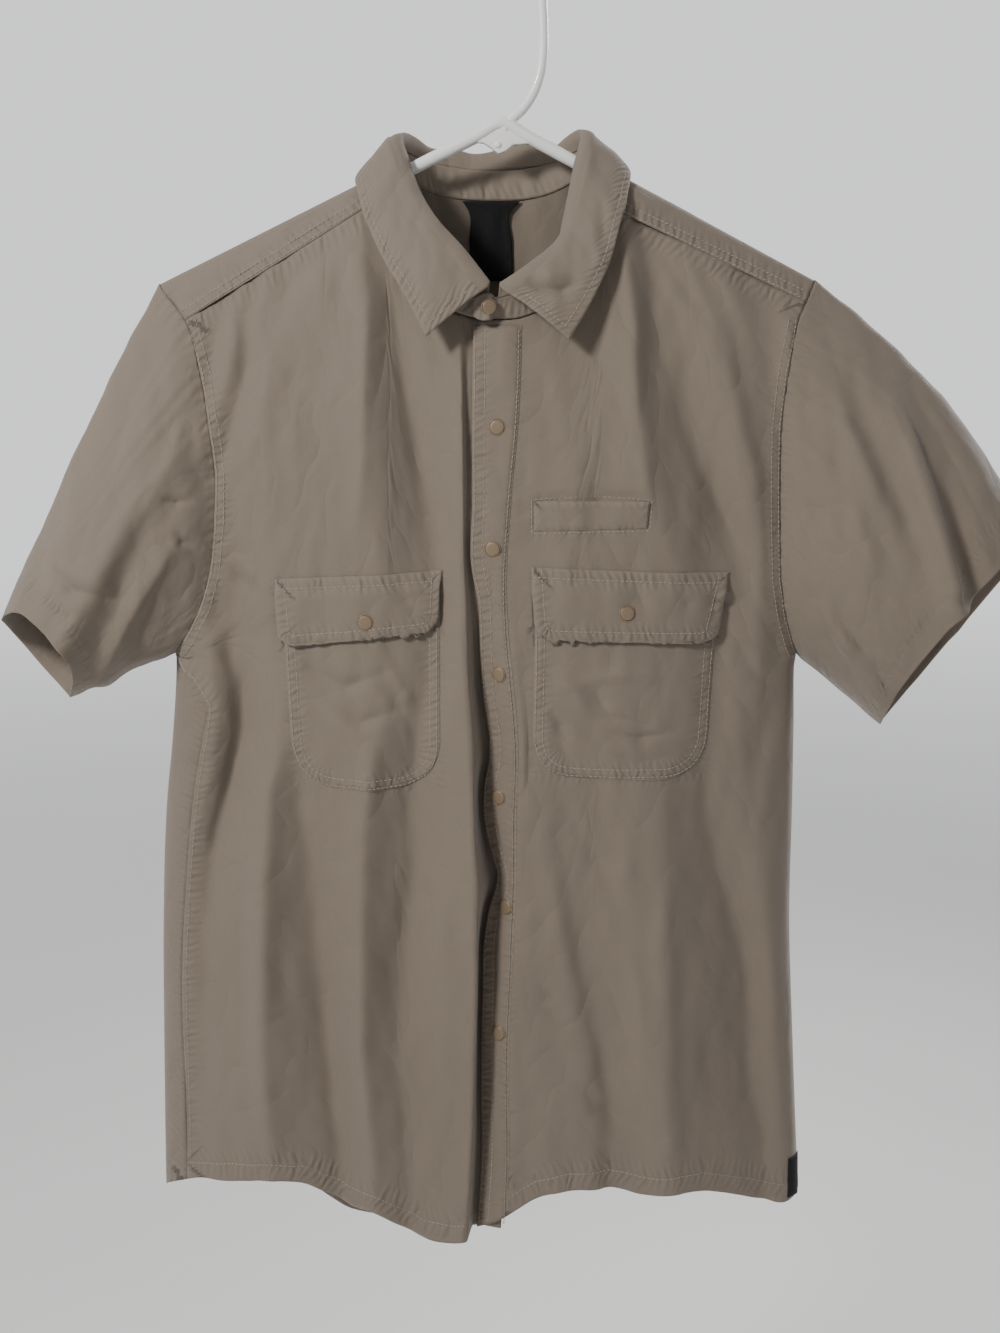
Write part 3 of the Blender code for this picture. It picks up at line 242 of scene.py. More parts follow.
# Collar: share of the way round the neck, then the fold line and the outer edge
COLLAR = [
    (0.00, -9, -46, -199, -50, -55, -233),
    (0.08, -25, -42, -179, -65, -50, -205),
    (0.17, -44, -33, -158, -78, -41, -184),
    (0.25, -55, -22, -140, -87, -31, -165),
    (0.32, -63, -8, -119, -94, -21, -147),
    (0.37, -67, 4, -102, -98, 3, -126),
    (0.42, -52, 24, -103, -78, 32, -136),
    (0.50, -8, 34, -107, -8, 46, -146),
    (0.58, 36, 26, -103, 60, 33, -138),
    (0.63, 52, 5, -100, 84, 4, -122),
    (0.68, 48, -8, -122, 82, -20, -142),
    (0.75, 41, -22, -156, 77, -32, -160),
    (0.84, 35, -33, -173, 70, -41, -184),
    (0.92, 15, -41, -189, 58, -50, -210),
    (1.00, -2, -45, -200, 43, -55, -235),
]
STAND_SHARE = 0.60
STAND_STEP = 0.012
STAND_RAISE = 0.9 * MM
# The stand's front end, which laps over: across, depth, foot and top
STAND_END = [(-9, -46, -222.5, -205), (-15, -46, -222.5, -206), (-19.5, -45.5, -220, -209)]
SIDE_SHARE = 0.37
COLLAR_SIDE = 90
COLLAR_BACK = 100
COLLAR_CROWN = 3 * MM
COLLAR_TURN = 4 * MM

# Pockets, flaps and welt: outline corners across and height, with the corner radius
POCKETS = {
    "pocket_right": [(-150, -408, 2), (-145, -539, 34), (-43, -539, 34), (-43, -406, 2)],
    "pocket_left": [(22, -404, 2), (20, -530, 30), (141, -533, 32), (147, -408, 2)],
}
FLAPS = {
    "flap_right": [(-155, -394, 2), (-152, -439, 10), (-43, -430, 14), (-41, -388, 2)],
    "flap_left": [(19, -385, 2), (22, -434, 12), (145, -438, 10), (155, -391, 2)],
}
PEN_WELT = [(21, -341, 1), (21, -361, 1), (97, -359, 1), (98, -341, 1)]

# Snaps: place of each cap, across and height
SNAP_RADIUS = 5.65 * MM
FRONT_SNAPS = [(-9, -214), (-4, -292), (-7, -373), (-3, -459), (-3, -546), (2, -626), (-3, -719)]
POCKET_SNAPS = {"snap_pocket_right": (-93, -422), "snap_pocket_left": (84, -416)}

# Labels, both bare
NECK_LABEL = [(-141, -28, 12), (-147, -24, 6), (-168, -23, 6), (-194, -22, 7)]
NECK_LABEL_LIFT = 2.2 * MM
SIDE_LABEL = [(213, -833, 0.5), (213, -864, 0.5), (222, -864, 0.5), (222, -833, 0.5)]

# Hanger
TUBE_RADIUS = 4.3 * MM
TUBE_SEAT = 1.7 * MM
ARM_END_LEFT = -204 * MM
ARM_END_RIGHT = 184 * MM
END_TURN = 11 * MM
HOOK_TOP = 20 * MM
HOOK_RADIUS = 25.5 * MM
HOOK_STEM = [
    (0.6, -97.4), (5, -91.3), (13, -84), (20, -74), (24.5, -62), (26.5, -48), (26.5, -30), (25.7, -14),
]
HOOK_ROUND = 197
HOOK_TUBE = 3.4 * MM
WEB_THICK = 5.0 * MM
WEB_OUTLINE = [
    (-30, -104), (-13, -106), (-8, -109), (-3, -113), (2, -111), (7, -107), (22, -106),
    (12, -97), (0, -91), (-14, -96),
]

# Grid sizes
FRONT_ROWS = 300
BACK_COLUMNS = 153
BACK_ROWS = 190
SLEEVE_ROWS = 120
YOKE_ROWS = 61
YOKE_COLUMNS = 56
YOKE_NECK = 70
FINE = 360

# Small creases on the right front (the viewer's left): across, height, stand-out, half width
CREASES_RIGHT_FRONT = [
    [(-95, -146, 0, 6), (-89, -211, 1.8, 7), (-92, -275, 2.2, 7), (-95, -321, 2.2, 7), (-98, -371, 0, 8)],
    [(-82, -169, 0, 6), (-74, -202, -1.0, 7), (-66, -265, -1.8, 8), (-56, -305, -2.2, 8),
     (-44, -351, -2.2, 8), (-38, -384, 0, 8)],
    [(-80, -475, 0, 7), (-95, -539, 2.2, 8), (-98, -604, 2.4, 9), (-100, -692, 2.4, 9),
     (-100, -738, 2.0, 9), (-94, -807, 1.0, 9)],
    [(-58, -480, 0, 9), (-66, -560, -1.9, 11), (-62, -690, -2.0, 12), (-58, -800, -0.8, 12)],
    [(-28, -245, 0, 5), (-26, -288, 1.5, 5), (-25, -339, 1.5, 5), (-23, -379, 1.2, 5), (-21, -399, 0, 5)],
    [(-204, -420, 0, 5), (-191, -468, 1.6, 6), (-190, -503, 2.0, 6), (-198, -539, 2.0, 6),
     (-210, -582, 1.5, 6), (-220, -655, 0, 6)],
    [(-186, -434, 0, 5), (-181, -475, -2.0, 6), (-181, -503, -2.4, 6), (-189, -532, -2.0, 6),
     (-203, -582, -1.0, 6)],
    [(-151, -507, 0, 6), (-162, -539, 1.6, 8), (-167, -582, 2.2, 9), (-169, -662, 2.4, 9),
     (-170, -738, 2.0, 9), (-166, -807, 1.0, 9)],
    [(-144, -503, 0, 7), (-140, -546, -1.6, 9), (-134, -596, -2.0, 10), (-125, -662, -2.0, 11),
     (-120, -769, -1.4, 11)],
    [(-181, -176, 0, 7), (-187, -206, -1.4, 8), (-195, -243, -2.2, 8), (-200, -270, -1.6, 7),
     (-204, -296, 0, 6)],
    [(-158, -164, 0, 7), (-168, -190, -1.0, 8), (-172, -226, -1.4, 9), (-172, -250, -2.4, 9),
     (-179, -278, -2.8, 8), (-189, -310, -2.4, 7), (-202, -345, 0, 6)],
    [(-190, -190, 0, 6), (-183, -222, 1.2, 7), (-187, -262, 1.5, 7), (-196, -300, 0, 7)],
    [(-152, -214, 0, 7), (-158, -262, 1.4, 9), (-166, -296, 1.8, 9), (-182, -330, 0, 8)],
    [(-190, -385, 0, 3), (-178, -397, -1.9, 3.2), (-166, -408, 0, 3)],
    [(-186, -376, 0, 4), (-172, -390, 1.2, 4), (-158, -404, 0, 4)],
    [(-140, -452, 0, 5), (-118, -470, -1.1, 6), (-92, -492, 0, 6)],
    [(-128, -476, 0, 5), (-104, -500, 1.1, 6), (-86, -528, 0, 6)],
    [(-112, -446, 0, 4), (-92, -462, 1.0, 5), (-70, -484, 0, 5)],
    [(-84, -466, 0, 4), (-68, -486, -1.0, 5), (-58, -512, 0, 5)],
    [(-206, -566, 0, 6), (-196, -600, -1.5, 7), (-190, -640, 0, 7)],
    [(-150, -560, 0, 6), (-140, -590, 1.4, 8), (-134, -640, 0, 8)],
    [(-212, -680, 0, 6), (-206, -712, 1.2, 7), (-204, -760, 0, 7)],
    [(-130, -700, 0, 7), (-124, -745, -1.2, 8), (-120, -800, 0, 8)],
    [(-62, -590, 0, 6), (-52, -620, -1.2, 7), (-48, -668, 0, 7)],
    [(-86, -735, 0, 6), (-78, -780, 1.0, 7), (-76, -830, 0, 7)],
    [(-122, -170, 0, 6), (-120, -200, 0.9, 8), (-124, -240, 0, 8)],
    [(-113, -171, 0, 7), (-140, -197, -1.6, 8), (-159, -235, 0, 8)],
    [(-183, -203, 0, 5), (-179, -235, 1.6, 6), (-183, -274, 0, 6)],
    [(-134, -261, 0, 8), (-140, -300, 1.6, 10), (-136, -353, 0, 9)],
    [(-137, -452, 0, 4), (-107, -467, -2.0, 5), (-69, -452, 0, 4)],
    [(-125, -474, 0, 4), (-97, -492, -2.0, 5), (-60, -478, 0, 4)],
    [(-83, -443, 0, 4), (-66, -474, 1.8, 5), (-69, -516, 0, 5)],
    [(-179, -595, 0, 7), (-185, -660, -1.8, 8), (-183, -751, 0, 8)],
    [(-54, -559, 0, 6), (-44, -631, 1.6, 8), (-41, -720, 0, 7)],
    [(-122, -690, 0, 6), (-112, -751, -1.5, 7), (-110, -797, 0, 7)],
    [(-192, -404, 0, 5), (-200, -424, -1.5, 6), (-204, -446, 0, 6)],
    [(-192, -418, 0, 4), (-184, -446, 2.0, 6), (-186, -486, 0, 6)],
    [(-148, -398, 0, 5), (-138, -410, 0.9, 6), (-134, -424, 0, 6)],
    [(-74, -394, 0, 5), (-66, -407, -1.2, 6), (-60, -420, 0, 6)],
]
# The same on the left front
CREASES_LEFT_FRONT = [
    [(20, -338.5, 0, 2.4), (34, -337.6, -1.3, 2.4), (84, -337.6, -1.3, 2.4), (99, -338.5, 0, 2.4)],
    [(80, -162, 0, 5), (82, -188, 1.8, 6), (88, -226, 2.5, 7), (87, -255, 2.5, 7), (89, -275, 2.3, 7),
     (97, -330, 1.4, 8), (104, -372, 0, 8)],
    [(90, -175, 0, 7), (118, -223, -1.6, 10), (127, -274, -2.2, 11), (152, -350, -1.8, 12),
     (163, -381, 0, 12)],
    [(26, -567, 0, 7), (46, -660, 1.8, 9), (64, -740, 1.8, 9), (77, -807, 0.8, 9)],
    [(111, -546, 0, 8), (115, -640, 2.3, 9), (119, -740, 2.3, 9), (121, -807, 1.2, 9)],
    [(153, -546, 0, 10), (172, -640, -2.0, 13), (188, -740, -2.0, 13), (196, -815, -1.0, 12)],
    [(120, -120, 0, 6), (146, -160, -1.2, 7), (166, -190, -1.0, 8), (180, -228, 0, 8)],
    [(186, -190, 0, 5), (192, -226, 1.6, 6), (195, -262, 1.4, 6), (198, -300, 0, 6)],
    [(148, -270, 0, 7), (158, -310, 1.5, 9), (162, -350, 1.4, 9), (164, -388, 0, 8)],
    [(138, -404, 0, 3), (150, -412, -1.5, 4), (164, -414, 0, 3)],
    [(134, -396, 0, 4), (152, -404, 1.2, 4), (170, -404, 0, 4)],
    [(32, -496, 0, 4), (42, -512, -1.2, 5), (52, -530, 0, 4)],
    [(70, -512, 0, 4), (98, -519, -1.1, 4), (128, -516, 0, 4)],
    [(64, -474, 0, 4), (86, -488, 0.9, 5), (116, -492, 0, 5)],
    [(30, -452, 0, 4), (50, -470, 0.9, 5), (62, -492, 0, 5)],
    [(18, -688, 0, 4), (34, -702, -1.6, 4), (52, -718, 0, 4)],
    [(22, -676, 0, 4), (42, -692, 1.0, 5), (60, -706, 0, 5)],
    [(4, -590, 0, 7), (8, -618, -1.0, 8), (10, -648, 0, 7)],
    [(92, -560, 0, 6), (84, -600, 1.3, 8), (88, -650, 0, 8)],
    [(186, -470, 0, 6), (176, -510, -1.4, 7), (172, -560, 0, 7)],
    [(196, -560, 0, 6), (190, -600, 1.1, 7), (192, -650, 0, 7)],
    [(140, -690, 0, 7), (146, -740, -1.2, 8), (150, -800, 0, 8)],
    [(98, -730, 0, 7), (104, -775, 1.0, 8), (108, -830, 0, 8)],
    [(24, -770, 0, 6), (30, -800, 1.0, 7), (36, -840, 0, 7)],
    [(66, -190, 0, 6), (72, -220, 0.9, 8), (70, -262, 0, 8)],
    [(24, -250, 0, 5), (30, -280, -0.8, 6), (28, -315, 0, 6)],
    [(99, -168, 0, 6), (123, -203, -2.0, 7), (145, -235, 0, 7)],
    [(129, -171, 0, 6), (156, -209, 1.8, 7), (170, -242, 0, 7)],
    [(31, -482, 0, 3.5), (39, -494, -2.4, 4), (47, -508, 0, 3.5)],
    [(66, -495, 0, 3), (93, -503, -2.2, 3.5), (122, -499, 0, 3)],
    [(39, -467, 0, 4), (79, -458, 1.5, 5), (126, -463, 0, 4)],
    [(62, -486, 0, 3.5), (84, -489, -1.7, 4), (104, -494, 0, 3)],
    [(58, -462, 0, 4), (68, -478, -1.6, 5), (76, -494, 0, 4)],
    [(26, -400, 0, 6), (38, -412, 0.8, 7), (48, -424, 0, 7)],
    [(86, -394, 0, 5), (94, -408, -1.5, 6), (98, -424, 0, 6)],
    [(112, -396, 0, 5), (124, -410, -1.4, 7), (120, -424, 0, 6)],
    [(128, -400, 0, 5), (140, -410, -1.2, 6), (146, -432, 0, 6)],
    [(17, -672, 0, 3.5), (33, -688, -2.4, 4), (49, -702, 0, 3.5)],
    [(39, -543, 0, 6), (67, -593, -1.6, 8), (96, -659, 0, 8)],
    [(81, -616, 0, 7), (97, -690, 1.8, 9), (105, -782, 0, 8)],
    [(41, -736, 0, 5), (69, -774, -1.6, 6), (113, -797, 0, 6)],
    [(190, -476, 0, 6), (181, -519, -2.0, 7), (178, -576, 0, 7)],
    [(161, -435, 0, 5), (175, -462, -1.8, 5), (192, -476, 0, 4)],
]
CREASES_BACK = [
    [(-110, -250, 0, 9), (-118, -340, -2.2, 13), (-122, -470, -2.6, 15), (-128, -620, -2.4, 16),
     (-130, -800, -1, 16)],
    [(-150, -250, 0, 8), (-152, -360, 2.0, 10), (-160, -500, 2.4, 11), (-168, -700, 2.2, 12),
     (-172, -840, 1, 12)],
    [(-48, -250, 0, 9), (-52, -380, 2.0, 12), (-58, -520, 2.6, 13), (-62, -700, 2.4, 14),
     (-62, -880, 1, 14)],
    [(16, -260, 0, 9), (14, -420, -2.0, 14), (18, -600, -2.4, 16), (18, -800, -2.0, 16),
     (20, -920, -1, 16)],
    [(70, -250, 0, 9), (74, -400, 2.2, 12), (84, -560, 2.6, 13), (88, -740, 2.2, 14), (90, -900, 1, 14)],
    [(124, -250, 0, 9), (132, -420, -2.2, 13), (142, -600, -2.4, 14), (148, -800, -1.4, 14)],
    [(-190, -262, 0, 8), (-168, -310, -2.2, 10), (-150, -372, 0, 10)],
    [(176, -258, 0, 8), (156, -312, -2.0, 10), (142, -380, 0, 10)],
    [(-206, -430, 0, 6), (-170, -452, -1.8, 8), (-128, -464, 0, 8)],
    [(192, -424, 0, 6), (160, -446, -1.7, 8), (116, -462, 0, 8)],
    [(-214, -470, 0, 7), (-176, -500, 1.6, 9), (-140, -540, 0, 9)],
    [(196, -476, 0, 7), (164, -508, 1.5, 9), (130, -560, 0, 9)],
    [(-60, -246, 0, 9), (-54, -300, 1.6, 12), (-66, -370, 0, 12)],
    [(54, -246, 0, 9), (60, -310, 1.4, 12), (48, -380, 0, 12)],
    [(-96, -560, 0, 8), (-84, -620, -1.5, 10), (-90, -700, 0, 10)],
    [(100, -580, 0, 8), (112, -650, -1.5, 10), (104, -740, 0, 10)],
    [(-20, -640, 0, 8), (-28, -700, 1.4, 10), (-18, -770, 0, 10)],
    [(-200, -640, 0, 7), (-190, -700, -1.3, 9), (-196, -780, 0, 9)],
    [(180, -660, 0, 7), (172, -730, -1.2, 9), (178, -810, 0, 9)],
    [(30, -800, 0, 8), (40, -840, 1.2, 10), (36, -884, 0, 10)],
    [(-130, -780, 0, 8), (-118, -830, 1.3, 10), (-122, -890, 0, 10)],
]
# Creases of the sleeves and the collar: across, height, stand-out, half width
CREASES_SLEEVES = [
    [(-231, -340, 0, 3), (-220, -342, -2.4, 3), (-209, -342, 0, 3)],
    [(-218, -361, 0, 4), (-232, -387, 2.2, 6), (-249, -413, 3.0, 7), (-282, -470, 2.0, 7)],
    [(-222, -361, 0, 3), (-217, -369, -2.2, 3), (-209, -372, 0, 3)],
    [(-312, -374, 0, 4), (-289, -398, -2.4, 4), (-250, -407, 0, 4)],
    [(-316, -362, 0, 4), (-300, -384, 1.8, 5), (-262, -398, 0, 5)],
    [(-322, -400, 0, 4), (-300, -414, -1.6, 5), (-268, -424, 0, 4)],
    [(-232, -229, 0, 6), (-254, -287, -1.7, 8), (-279, -354, 0, 8)],
    [(-211, -274, 0, 5), (-226, -320, 1.8, 7), (-259, -381, 0, 7)],
    [(-224, -380, 0, 4), (-246, -424, -2.2, 6), (-262, -468, 0, 6)],
    [(258, -245, 0, 5), (285, -307, -3.6, 7), (311, -404, -2.6, 7)],
    [(264, -247, 0, 5), (297, -300, -2.6, 7), (336, -378, -1.6, 8)],
    [(255, -260, 0, 5), (278, -327, 2.6, 7), (305, -397, 1.8, 7)],
    [(217, -214, 0, 6), (230, -274, -2.0, 9), (260, -329, 0, 9)],
    [(201, -381, 0, 3), (223, -436, -2.4, 5), (252, -477, 0, 5)],
    [(212, -408, 0, 3), (237, -442, 2.0, 5), (275, -456, 0, 5)],
    [(226, -300, 0, 5), (240, -360, 1.4, 7), (262, -420, 0, 7)],
    [(204, -340, 0, 4), (228, -356, -1.6, 5), (246, -380, 0, 5)],
]
CREASES_COLLAR = [
    [(14, -196, 0, 3.0), (24, -202, -2.6, 3.6), (38, -203, -3.2, 4.0), (52, -197, 0, 3.6)],
    [(18, -190, 0, 3.5), (30, -195, 1.4, 4.5), (46, -193, 0, 4)],
    [(58, -160, 0, 4), (62, -184, 1.4, 5), (50, -204, 0, 5)],
    [(66, -140, 0, 4), (66, -166, -1.2, 5), (56, -190, 0, 5)],
    [(-70, -140, 0, 4), (-76, -164, 1.0, 6), (-66, -190, 0, 5)],
    [(-84, -150, 0, 5), (-72, -180, -1.0, 6), (-52, -200, 0, 6)],
]
# The crumpled fold at the back of the neck: share of the way round, and height
COLLAR_CRUMPLE = [
    (0.30, 0), (0.37, 0), (0.40, -4.5), (0.44, -2.0), (0.47, -4.0), (0.50, -1.5), (0.53, 3.0),
    (0.555, 3.5), (0.58, -1.5), (0.61, -3.0), (0.63, 0), (0.70, 0),
]
# Uneven ripple of the hung cloth: wave length across and down, turn and height
RIPPLES = [
    (64, 210, 0.3, 0.62), (41, 150, -0.4, 0.45), (27, 90, 0.5, 0.30), (19, 60, -0.2, 0.20),
    (90, 130, 0.9, 0.50), (15, 34, 0.7, 0.12),
]
CREASE_GAIN = 1.45
CREASE_POWER = 1.6
PUCKER_LENGTHS = [(13.3, 0.55), (21.7, 0.35), (9.1, 0.25)]
PUCKER_HEIGHT = 0.40
PATCH_EASE = 9.0
PUCKER_WIDTH = 8.0
FAR = 99.0

# Seams: the rows of stitches and their dents, as distance or depth and width in millimetres
EDGE_ROW = 1.7
INNER_ROW = 6.8
SEAM_ROWS = (EDGE_ROW, INNER_ROW)
HEM_ROW = 13.5
COLLAR_ROW = 5.2
SEAM_DENT = (0.24, 0.8)
HEM_DENT = (0.22, 0.9)
WORN_WIDTH = 1.6
# Doubled bands of cloth: width and height
ARM_BAND = (8.0, 0.5)
HEM_BAND = (13.0, 0.3)
YOKE_BAND = (7.6, 0.75)
YOKE_SEAM_BACK = [(-240, -236), (220, -236)]
ARM_STITCH_TOP = -215
# Waves of the puckers across a seam: length in millimetres and share
RUNGS = [(5.3, 0.34), (8.7, 0.22)]

# Stitches
STITCH_LONG = 2.4 * MM
STITCH_STEP = 3.3 * MM
THREAD = 0.34 * MM
PATH_STEP = 1.2 * MM
LITTLE = 0.4 * MM
# Places along a stitch as shares of it, and how far its thread stands out there
THREAD_PLACES = np.array([0, 0.2, 0.5, 0.8, 1])
THREAD_RISE = np.array([-0.22, 0.16, 0.26, 0.16, -0.22]) * MM

# Sleeves and sides, in full detail
CUFF_SHORT = {"right": 17.0, "left": 8.0}
SLEEVE_TUCK = 0.6 * MM
SLEEVE_HEM = 19 * MM
SLEEVE_LONG = 160
SIDE_TURN = 14 * MM
SIDE_START = 6 * MM

# Pieces that lie on the fronts
PATCH_LIFT = 0.35 * MM
PATCH_WALL = 0.4 * MM
FLAP_WALL = 0.8 * MM
PLACKET_WALL = 0.5 * MM
FLAP_LOW = 0.7 * MM
FLAP_HIGH = 4.2 * MM
FLAP_BEND = 0.32
FLAP_FLARE = 0.5 * MM
BULGE_WIDTH = 16
RAY_START = -0.3
SNAP_PROBE = 3.5 * MM
# A snap's cap: share of its radius, and height in millimetres
SNAP_PROFILE = [
    (0.96, -0.35), (1.0, -0.05), (1.0, 0.25), (0.97, 0.42), (0.92, 0.46), (0.885, 0.30), (0.86, 0.10),
    (0.845, 0.10), (0.835, 0.75), (0.81, 1.02), (0.76, 1.14), (0.55, 1.20), (0.34, 1.24), (0.14, 1.26),
    (0.04, 1.26),
]

# The web's round boss: place across and height, and rows of radius and height
BOSS_PLACE = (-3.5, -107.0)
BOSS_PROFILE = [(2.3, -0.2), (2.3, 0.2), (2.1, 0.6), (1.7, 0.95), (1.1, 1.2), (0.5, 1.3), (0.1, 1.32)]

# Light: name, place, what it points at, power in watts and size in metres
LIGHTS = [
    ("key", (-1.10, -1.30, 0.55), (0, 0, -0.45), 37, 0.32),
    ("fill", (1.1, -2.2, 0.0), (0, 0, -0.5), 3, 1.6),
    ("back", (1.7, 1.5, 0.5), (0, 0, -0.5), 42, 0.5),
]
WORLD_COLOUR = (0.95, 0.96, 0.97)
WORLD_FRONT = 0.275
WORLD_BACK = 1.15
FLOOR_REACH = 12.0
LIGHT_COLOUR = (1.0, 0.985, 0.96)
FLOOR_LEVEL = -1.75
# Camera: lens and sensor in millimetres, place, and degrees that it looks down
CAMERA_LENS = 42.43
CAMERA_SENSOR = 36
CAMERA_PLACE = (-0.002, -1.10, -0.247 - HOOK_TOP)
CAMERA_DIP = 11.1

FRONTWARD = np.array([0, -1, 0])
FRONT_WAY = Vector((0, -1, 0))
NECK_MIDDLE = np.array([(NECK_LEFT + NECK_RIGHT) / 2, 0, -0.2])

# Curves and falls

def run_of(line):
    """The length along a line, up to each of its points."""
    return np.concatenate([[0], np.cumsum(np.linalg.norm(np.diff(line, axis=0), axis=1))])


def taken(line, run, at):
    """Points of a line at places along it."""
    return np.stack([np.interp(at, run, line[:, k]) for k in range(3)], axis=1)


def eased(t):
    return t * t * (3 - 2 * t)


def bell_at(distance, centre, width):
    """One at the centre, falling softly to nothing on both sides."""
    return np.exp(-(((distance - centre) / width) ** 2))


def curve_between(values, slopes, i, t, step):
    """A smooth curve through the rows of values, at the share t of the step after row i."""
    start_part = (1 + 2 * t) * (1 - t) ** 2 * values[i] + t * (1 - t) ** 2 * step * slopes[i]
    end_part = t * t * (3 - 2 * t) * values[i + 1] + t * t * (t - 1) * step * slopes[i + 1]
    return start_part + end_part


def path_place(rows, x, z):
    """Distance from a path in millimetres, the run along it, and the values at the nearest place."""
    path = np.array(rows, float)
    px, pz = np.asarray(x) / MM, np.asarray(z) / MM
    best = np.full(np.shape(px), np.inf)
    run_at = np.zeros(np.shape(px))
    values = np.zeros((*np.shape(px), path.shape[1] - 2))
    run = 0.0
    for a, b in zip(path[:-1], path[1:]):
        step = b[:2] - a[:2]
        length = np.hypot(*step)
        t = np.clip(((px - a[0]) * step[0] + (pz - a[1]) * step[1]) / length**2, 0, 1)
        away = np.hypot(px - a[0] - t * step[0], pz - a[1] - t * step[1])
        nearer = away < best
        best = np.where(nearer, away, best)
        run_at = np.where(nearer, run + t * length, run_at)
        here = a[2:] + (b[2:] - a[2:]) * t[..., None]
        values = np.where(nearer[..., None], here, values)
        run += length
    return best, run_at, values


def creased(tables, x, z):
    """The sum of soft creases, each along its own short path."""
    out = np.zeros(np.shape(x))
    low = (np.min(x) / MM, np.min(z) / MM)
    high = (np.max(x) / MM, np.max(z) / MM)
    for rows in tables:
        reach = 3 * max(row[3] for row in rows)
        across, down = [row[0] for row in rows], [row[1] for row in rows]
        if min(across) - reach > high[0] or max(across) + reach < low[0]:
            continue
        if min(down) - reach > high[1] or max(down) + reach < low[1]:
            continue
        away, _, values = path_place(rows, x, z)
        out = out + values[..., 0] * np.exp(-((away / values[..., 1]) ** CREASE_POWER))
    return out * CREASE_GAIN * MM


def rippled(x, z, shift):
    out = np.zeros(np.shape(x))
    px, pz = np.asarray(x) / MM, np.asarray(z) / MM
    for number, (across, down, turn, height) in enumerate(RIPPLES):
        bend = 0.9 * np.sin(pz / (0.6 * down) + number + shift)
        phase = 2 * math.pi * (px / across + pz / down * turn) + bend + 1.7 * number + shift
        out = out + height * np.sin(phase) * np.cos(2 * math.pi * pz / (down * 1.6) + 2.3 * number + shift)
    return out * MM


def puckered(seams, x, z):
    """Short waves of the cloth beside its seams, uneven along each seam."""
    out = np.zeros(np.shape(x))
    for number, rows in enumerate(seams):
        away, run, _ = path_place([(a, b) for a, b, *_ in rows], x, z)
        wave = sum(h * np.sin(2 * math.pi * run / length + 2.1 * number + 1.3 * k
                              + 1.1 * np.sin(run / (3.1 * length)))
                   for k, (length, h) in enumerate(PUCKER_LENGTHS))
        swell = 0.6 + 0.4 * np.sin(run / 37.0 + number)
        out = out + PUCKER_HEIGHT * wave * swell * np.exp(-((away / PUCKER_WIDTH) ** 2))
    return out * MM


def seam_fields(seams, patches, x, z):
    """Distance to the nearest seam and the run along it, in millimetres. Patches pucker the cloth less."""
    away, run = np.full(np.shape(x), FAR), np.zeros(np.shape(x))
    for number, rows in enumerate([*seams, *patches]):
        far, along_it, _ = path_place([(a, b) for a, b, *_ in rows], x, z)
        far = far + (PATCH_EASE if number >= len(seams) else 0)
        nearer = far < away
        away = np.where(nearer, far, away)
        run = np.where(nearer, along_it + 211.0 * number, run)
    return away, run


def hem_path(rows, lift):
    return [(x, z + lift) for x, z in rows]


def turned(rows):
    """A table of height and place as a path of place and height."""
    return [(place, height) for height, place in rows]


RIGHT_SEAMS = [
    turned(ARMHOLE_FRONT_LEFT), turned(SIDE_SEAM_LEFT), YOKE_SEAM_LEFT, hem_path(HEM_FRONT_LEFT, 14),
]
RIGHT_PATCHES = [
    [row[:2] for row in POCKETS["pocket_right"]], [row[:2] for row in FLAPS["flap_right"]],
]
LEFT_SEAMS = [
    turned(ARMHOLE_FRONT_RIGHT), YOKE_SEAM_RIGHT, hem_path(HEM_FRONT_RIGHT, 14),
]
LEFT_PATCHES = [
    turned(PLACKET_STITCH), turned(PLACKET_EDGE), [row[:2] for row in POCKETS["pocket_left"]],
    [row[:2] for row in FLAPS["flap_left"]], [row[:2] for row in PEN_WELT],
]
BACK_SEAMS = [hem_path(HEM_BACK, 14), turned(ARMHOLE_BACK_LEFT), turned(ARMHOLE_BACK_RIGHT)]


def left_front_detail(x, z):
    seams = puckered(LEFT_SEAMS + LEFT_PATCHES, x, z)
    return creased(CREASES_LEFT_FRONT, x, z) + rippled(x, z, 0.4) + seams


def right_front_detail(x, z):
    seams = puckered(RIGHT_SEAMS + RIGHT_PATCHES, x, z)
    return creased(CREASES_RIGHT_FRONT, x, z) + rippled(x, z, 2.9) + seams


def back_detail(x, z):
    return creased(CREASES_BACK, x, z) + rippled(x, z, 5.2) + puckered(BACK_SEAMS, x, z)


# Curves through tables

def along(rows, place):
    """The values of a table at a place: a smooth curve through its rows, in metres."""
    table = np.array(sorted(rows), float) * MM
    at, values = table[:, 0], table[:, 1:]
    slopes = np.gradient(values, at, axis=0)
    place = np.asarray(place, float)
    i = np.clip(np.searchsorted(at, place) - 1, 0, len(at) - 2)
    step = at[i + 1] - at[i]
    t = np.clip((place - at[i]) / step, 0, 1)[..., None]
    return curve_between(values, slopes, i, t, step[..., None])


def one(rows, place):
    return along(rows, place)[..., 0]


def soft_ramp(distance, softness):
    return 0.5 * (distance + np.sqrt(distance**2 + 4 * softness**2))


def folded(rows, x, z):
    """How far the cloth stands out at x and z, with planes between soft fold lines."""
    values = along(rows, z)
    places, out = values[..., 0::2], values[..., 1::2]
    slopes = np.diff(out, axis=-1) / np.maximum(np.diff(places, axis=-1), MM)
    edge = np.zeros_like(out[..., :1])
    turns = np.diff(np.concatenate([edge, slopes, edge], axis=-1), axis=-1)
    ramps = soft_ramp(np.asarray(x)[..., None] - places, FOLD_SOFTNESS)
    return out[..., 0] + (turns * ramps).sum(axis=-1)


